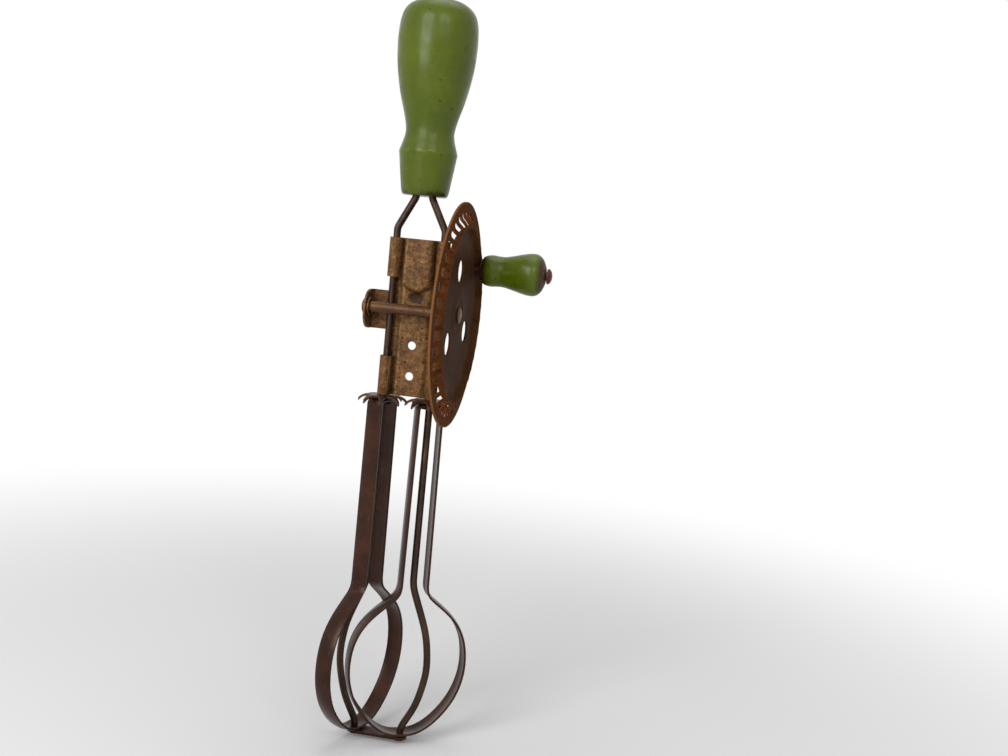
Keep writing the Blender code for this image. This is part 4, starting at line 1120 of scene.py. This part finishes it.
def half_loop():
    """Half of a dasher's line in reach and height over the axle, from its top to its foot."""
    given = sizes()
    loop_top, bulb_top, _ = dasher_heights()
    neck_top, neck_foot, corner = 0.0052, 0.0058, 0.0020
    corner_steps, neck_steps = 8, 30
    half = [(0.0, loop_top), (0.0016, loop_top)]
    for step in range(corner_steps + 1):
        turn = math.pi / 2 * step / corner_steps
        half.append((neck_top - corner * (1 - math.sin(turn)),
                     loop_top - corner * (1 - math.cos(turn))))
    start, neck_start = bulb_top + 0.0030, loop_top - corner
    for step in range(1, neck_steps + 1):
        share = step / neck_steps
        half.append((neck_top + (neck_foot - neck_top) * share,
                     neck_start + (start - neck_start) * share))
    shares = [(0.257, 0.004), (0.337, 0.039), (0.519, 0.099), (0.700, 0.166), (0.856, 0.250),
              (0.955, 0.346), (0.997, 0.447), (0.997, 0.553), (0.947, 0.655), (0.848, 0.755),
              (0.675, 0.857), (0.461, 0.941), (0.247, 0.989), (0.100, 1.0), (0.0, 1.0)]
    bulb = [(given.bulb_radius * out, bulb_top - given.bulb_height * down) for out, down in shares]
    bulb = smooth_curve([(neck_foot, start)] + bulb, 8)
    return half + eased(even_points(bulb, 0.0009), 5)[1:]


def strip_mesh(line, width, crown):
    """A closed strip along a flat loop, crowned across, extruded column by column."""
    mesh = bmesh.new()
    step = mesh.verts.layers.int.new("step")
    count = len(line)
    outward = []
    points = []
    for index, centre in enumerate(line):
        way = (line[(index + 1) % count] - line[index - 1]).normalized()
        outward.append(way.cross(Vector((0.0, 1.0, 0.0))))
        point = mesh.verts.new(centre)
        point[step] = index
        points.append(point)
    ring = [mesh.edges.new((points[i - 1], points[i])) for i in range(count)]
    columns = 8
    for column in range(columns + 1):
        share = -1 + 2 * column / columns
        if column:
            ring, points = extruded(mesh, ring)
        for point in points:
            index = point[step]
            point.co = (line[index] - outward[index] * crown * share * share
                        + Vector((0.0, width / 2 * share, 0.0)))
    mesh.verts.layers.int.remove(step)
    bmesh.ops.recalc_face_normals(mesh, faces=mesh.faces)
    return mesh


class BEATER_OT_dashers(bpy.types.Operator):
    """Bend the two crowned strips into the dashers' loops"""
    bl_idname = "beater.dashers"
    bl_label = "Dashers"

    def execute(self, context):
        given = sizes()
        half, crown, edge_round = half_loop(), 0.0005, 0.00022
        right = [Vector((x, 0.0, z)) for x, z in half]
        left = [Vector((-x, 0.0, z)) for x, z in half[1:-1]]
        line = right + left[::-1]
        for side, label, turn in ((-1, "left", given.left_turn), (1, "right", given.right_turn)):
            mesh = strip_mesh(line, given.strip_width, crown)
            place = Matrix.Translation((side * given.spacing / 2, 0.0, given.axle_z))
            place @= Matrix.Rotation(turn, 4, "Z")
            bmesh.ops.transform(mesh, matrix=place, verts=mesh.verts)
            loop = add_piece(label + "_loop", mesh, finish_named("dasher_metal"),
                             label + "_dasher", (label + "_dasher",), 60.0)
            sheet_wall(loop, given.strip_thickness)
            bevel_edges(loop, edge_round, 3, 60.0)
        return {"FINISHED"}


class BEATER_OT_strap(bpy.types.Operator):
    """Cut the tie strap under the dashers"""
    bl_idname = "beater.strap"
    bl_label = "Tie strap"

    def execute(self, context):
        given = sizes()
        low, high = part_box("bottom_strap")
        radius = (high[1] - low[1]) / 2
        mesh = bmesh.new()
        bmesh.ops.create_circle(mesh, cap_ends=False, segments=64, radius=radius)
        for vert in mesh.verts:
            vert.co.x += math.copysign(given.spacing / 2, vert.co.x + 1e-9)
            vert.co.z = low[2]
        bmesh.ops.contextual_create(mesh, geom=mesh.edges)
        body = bmesh.ops.extrude_face_region(mesh, geom=list(mesh.faces))["geom"]
        moved = [item for item in body if isinstance(item, bmesh.types.BMVert)]
        bmesh.ops.translate(mesh, verts=moved, vec=(0.0, 0.0, high[2] - low[2]))
        bmesh.ops.recalc_face_normals(mesh, faces=mesh.faces)
        strap = add_piece("cut_strap", mesh, finish_named("dasher_metal"), "frame",
                          ("bottom_strap",))
        past, edge_round = 0.001, 0.0002
        pins = [cutting_pin(ROD_BORE, low[2] - past, high[2] + past,
                            Matrix.Translation((side * given.spacing / 2, 0.0, 0.0)))
                for side in (-1, 1)]
        cut_holes(strap, pins)
        bake_modifiers(strap, pins)
        bevel_edges(strap, edge_round, 2, 50.0)
        return {"FINISHED"}


# Stage
def seen_directly(tree):
    """1 where the eye, a mirror or a glass sees it, 0 where it only lights."""
    path = tree.nodes.new("ShaderNodeLightPath")
    total = maths(tree, "ADD", path.outputs["Is Camera Ray"], path.outputs["Is Glossy Ray"])
    total = maths(tree, "ADD", total, path.outputs["Is Transmission Ray"])
    return maths(tree, "MINIMUM", total, 1.0)


def blend_shaders(tree, share, first, second, end):
    """Send the output the first shader, or the second where the share is 1."""
    mix = tree.nodes.new("ShaderNodeMixShader")
    tree.links.new(share, mix.inputs[0])
    tree.links.new(first.outputs[0], mix.inputs[1])
    tree.links.new(second.outputs[0], mix.inputs[2])
    tree.links.new(mix.outputs[0], tree.nodes[end].inputs["Surface"])


def add_camera():
    """The camera at the measured angle and distance, as turns about the drive axle."""
    given = sizes()
    yaw, pitch, roll = (math.radians(a) for a in (-8.982, 6.609, 5.677))
    shift = Vector((-0.035286, -0.026704, 0.432909))
    focal_pixels = 1100.0
    swap = Matrix(((1.0, 0.0, 0.0), (0.0, 0.0, -1.0), (0.0, 1.0, 0.0)))
    turn = (Matrix.Rotation(roll, 3, "Z") @ Matrix.Rotation(pitch, 3, "X") @ swap
            @ Matrix.Rotation(yaw, 3, "Z"))
    place = -(turn.transposed() @ shift)
    place.z += given.axle_z
    axes = Matrix((turn[0], -turn[1], -turn[2])).transposed().to_4x4()
    axes.translation = place
    data = bpy.data.cameras.new("product_camera")
    data.sensor_width = SENSOR_WIDTH
    data.sensor_fit = "HORIZONTAL"
    data.lens = focal_pixels * SENSOR_WIDTH / PICTURE_WIDTH
    camera = placed("product_camera", data)
    camera.matrix_world = axes
    bpy.context.scene.camera = camera


def beside_camera(aside, rise, distance):
    """A place so many degrees to the right of the camera and above level, round the beater."""
    camera = bpy.context.scene.camera.matrix_world.translation
    bearing = math.atan2(camera.y, camera.x) + math.radians(aside)
    rise = math.radians(rise)
    return (distance * math.cos(rise) * math.cos(bearing),
            distance * math.cos(rise) * math.sin(bearing), distance * math.sin(rise))


def add_lamp(name, place, target, size, power):
    """A soft oblong lamp that faces its target."""
    data = bpy.data.lights.new(name, "AREA")
    data.shape = "RECTANGLE"
    data.size, data.size_y = size
    data.energy = power
    lamp = placed(name, data)
    lamp.location = place
    way = Vector(target) - Vector(place)
    lamp.rotation_euler = way.to_track_quat("-Z", "Y").to_euler()


def floor_material():
    """A pale floor with a soft grey shadow painted round the beater's foot, that fades into the
    white round it.
    """
    material = bpy.data.materials.new("pale_floor")
    material.use_nodes = True
    tree = material.node_tree
    shader = tree.nodes["Principled BSDF"]
    shader.inputs["Roughness"].default_value = 0.9
    shader.inputs["Specular IOR Level"].default_value = 0.1
    glow = tree.nodes.new("ShaderNodeEmission")
    glow.inputs["Strength"].default_value = 1.0
    place = tree.nodes.new("ShaderNodeTexCoord")
    reach = reach_of(tree, place.outputs["Object"])
    # Painted shadow: the floor's colour turns grey near the beater's foot.
    painted_shadow = tree.nodes.new("ShaderNodeMix")
    painted_shadow.data_type = "RGBA"
    tree.links.new(map_range(tree, reach, 0.04, 0.30), painted_shadow.inputs["Factor"])
    painted_shadow.inputs["A"].default_value = (*colours().floor_painted_shadow, 1.0)
    painted_shadow.inputs["B"].default_value = (*colours().floor, 1.0)
    tree.links.new(painted_shadow.outputs["Result"], shader.inputs["Base Color"])
    far = map_range(tree, reach, 0.22, 0.60)
    share = maths(tree, "MULTIPLY", far, seen_directly(tree))
    blend_shaders(tree, share, shader, glow, "Material Output")
    return material


def light_world():
    """Soft even light from all round, that looks white where it is seen."""
    world = bpy.data.worlds.new("studio")
    bpy.context.scene.world = world
    world.use_nodes = True
    tree = world.node_tree
    light = tree.nodes["Background"]
    white = tree.nodes.new("ShaderNodeBackground")
    for node, strength in ((light, 0.24), (white, 1.0)):
        node.inputs["Color"].default_value = (1.0, 1.0, 1.0, 1.0)
        node.inputs["Strength"].default_value = strength
    blend_shaders(tree, seen_directly(tree), light, white, "World Output")


class BEATER_OT_stage(bpy.types.Operator):
    """Set the floor, the backdrop, the lamps and the camera"""
    bl_idname = "beater.stage"
    bl_label = "Stage"

    def execute(self, context):
        low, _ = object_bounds()
        under_heads, reach = 0.0012, 6.0
        mesh = bmesh.new()
        bmesh.ops.create_grid(mesh, x_segments=2, y_segments=2, size=reach)
        bmesh.ops.translate(mesh, verts=mesh.verts, vec=(0.0, 0.0, low[2] - under_heads))
        floor = mesh_object("floor", mesh)
        floor.data.materials.append(floor_material())
        floor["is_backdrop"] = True
        light_world()
        add_camera()
        add_lamp("key_lamp", beside_camera(-36.0, 16.0, 0.70), (0.0, 0.0, -0.06),
                 (0.36, 0.52), 3.4)
        add_lamp("front_lamp", beside_camera(14.0, 28.0, 0.95), (0.0, 0.0, -0.10),
                 (0.45, 0.30), 1.8)
        add_lamp("top_lamp", (0.05, 0.12, 0.95), (0.0, 0.0, -0.20), (0.8, 0.8), 3.2)
        bpy.context.scene.view_settings.view_transform = "Standard"
        return {"FINISHED"}


OPERATORS = (
    BEATER_OT_handle, BEATER_OT_knob, BEATER_OT_rods, BEATER_OT_plate, BEATER_OT_wheel,
    BEATER_OT_axle, BEATER_OT_pinions, BEATER_OT_dashers, BEATER_OT_strap, BEATER_OT_stage)


class BEATER_PT_panel(bpy.types.Panel):
    """Sizes, colours and pieces of the beater"""
    bl_idname = "BEATER_PT_panel"
    bl_label = "Rotary egg beater"
    bl_space_type = "VIEW_3D"
    bl_region_type = "UI"
    bl_category = "Beater"

    def draw(self, context):
        layout = self.layout
        for operator in OPERATORS:
            layout.operator(operator.bl_idname)
        for group in (context.scene.beater_sizes, context.scene.beater_colours):
            box = layout.box()
            for name in group.__annotations__:
                box.prop(group, name)


CLASSES = (BeaterSizes, BeaterColours) + OPERATORS + (BEATER_PT_panel,)


def register():
    for item in CLASSES:
        bpy.utils.register_class(item)
    bpy.types.Scene.beater_sizes = bpy.props.PointerProperty(type=BeaterSizes)
    bpy.types.Scene.beater_colours = bpy.props.PointerProperty(type=BeaterColours)


def unregister():
    del bpy.types.Scene.beater_colours
    del bpy.types.Scene.beater_sizes
    for item in reversed(CLASSES):
        bpy.utils.unregister_class(item)


def main():
    register()
    for operator in OPERATORS:
        group, name = operator.bl_idname.split(".")
        getattr(getattr(bpy.ops, group), name)()


if __name__ == "__main__":
    main()
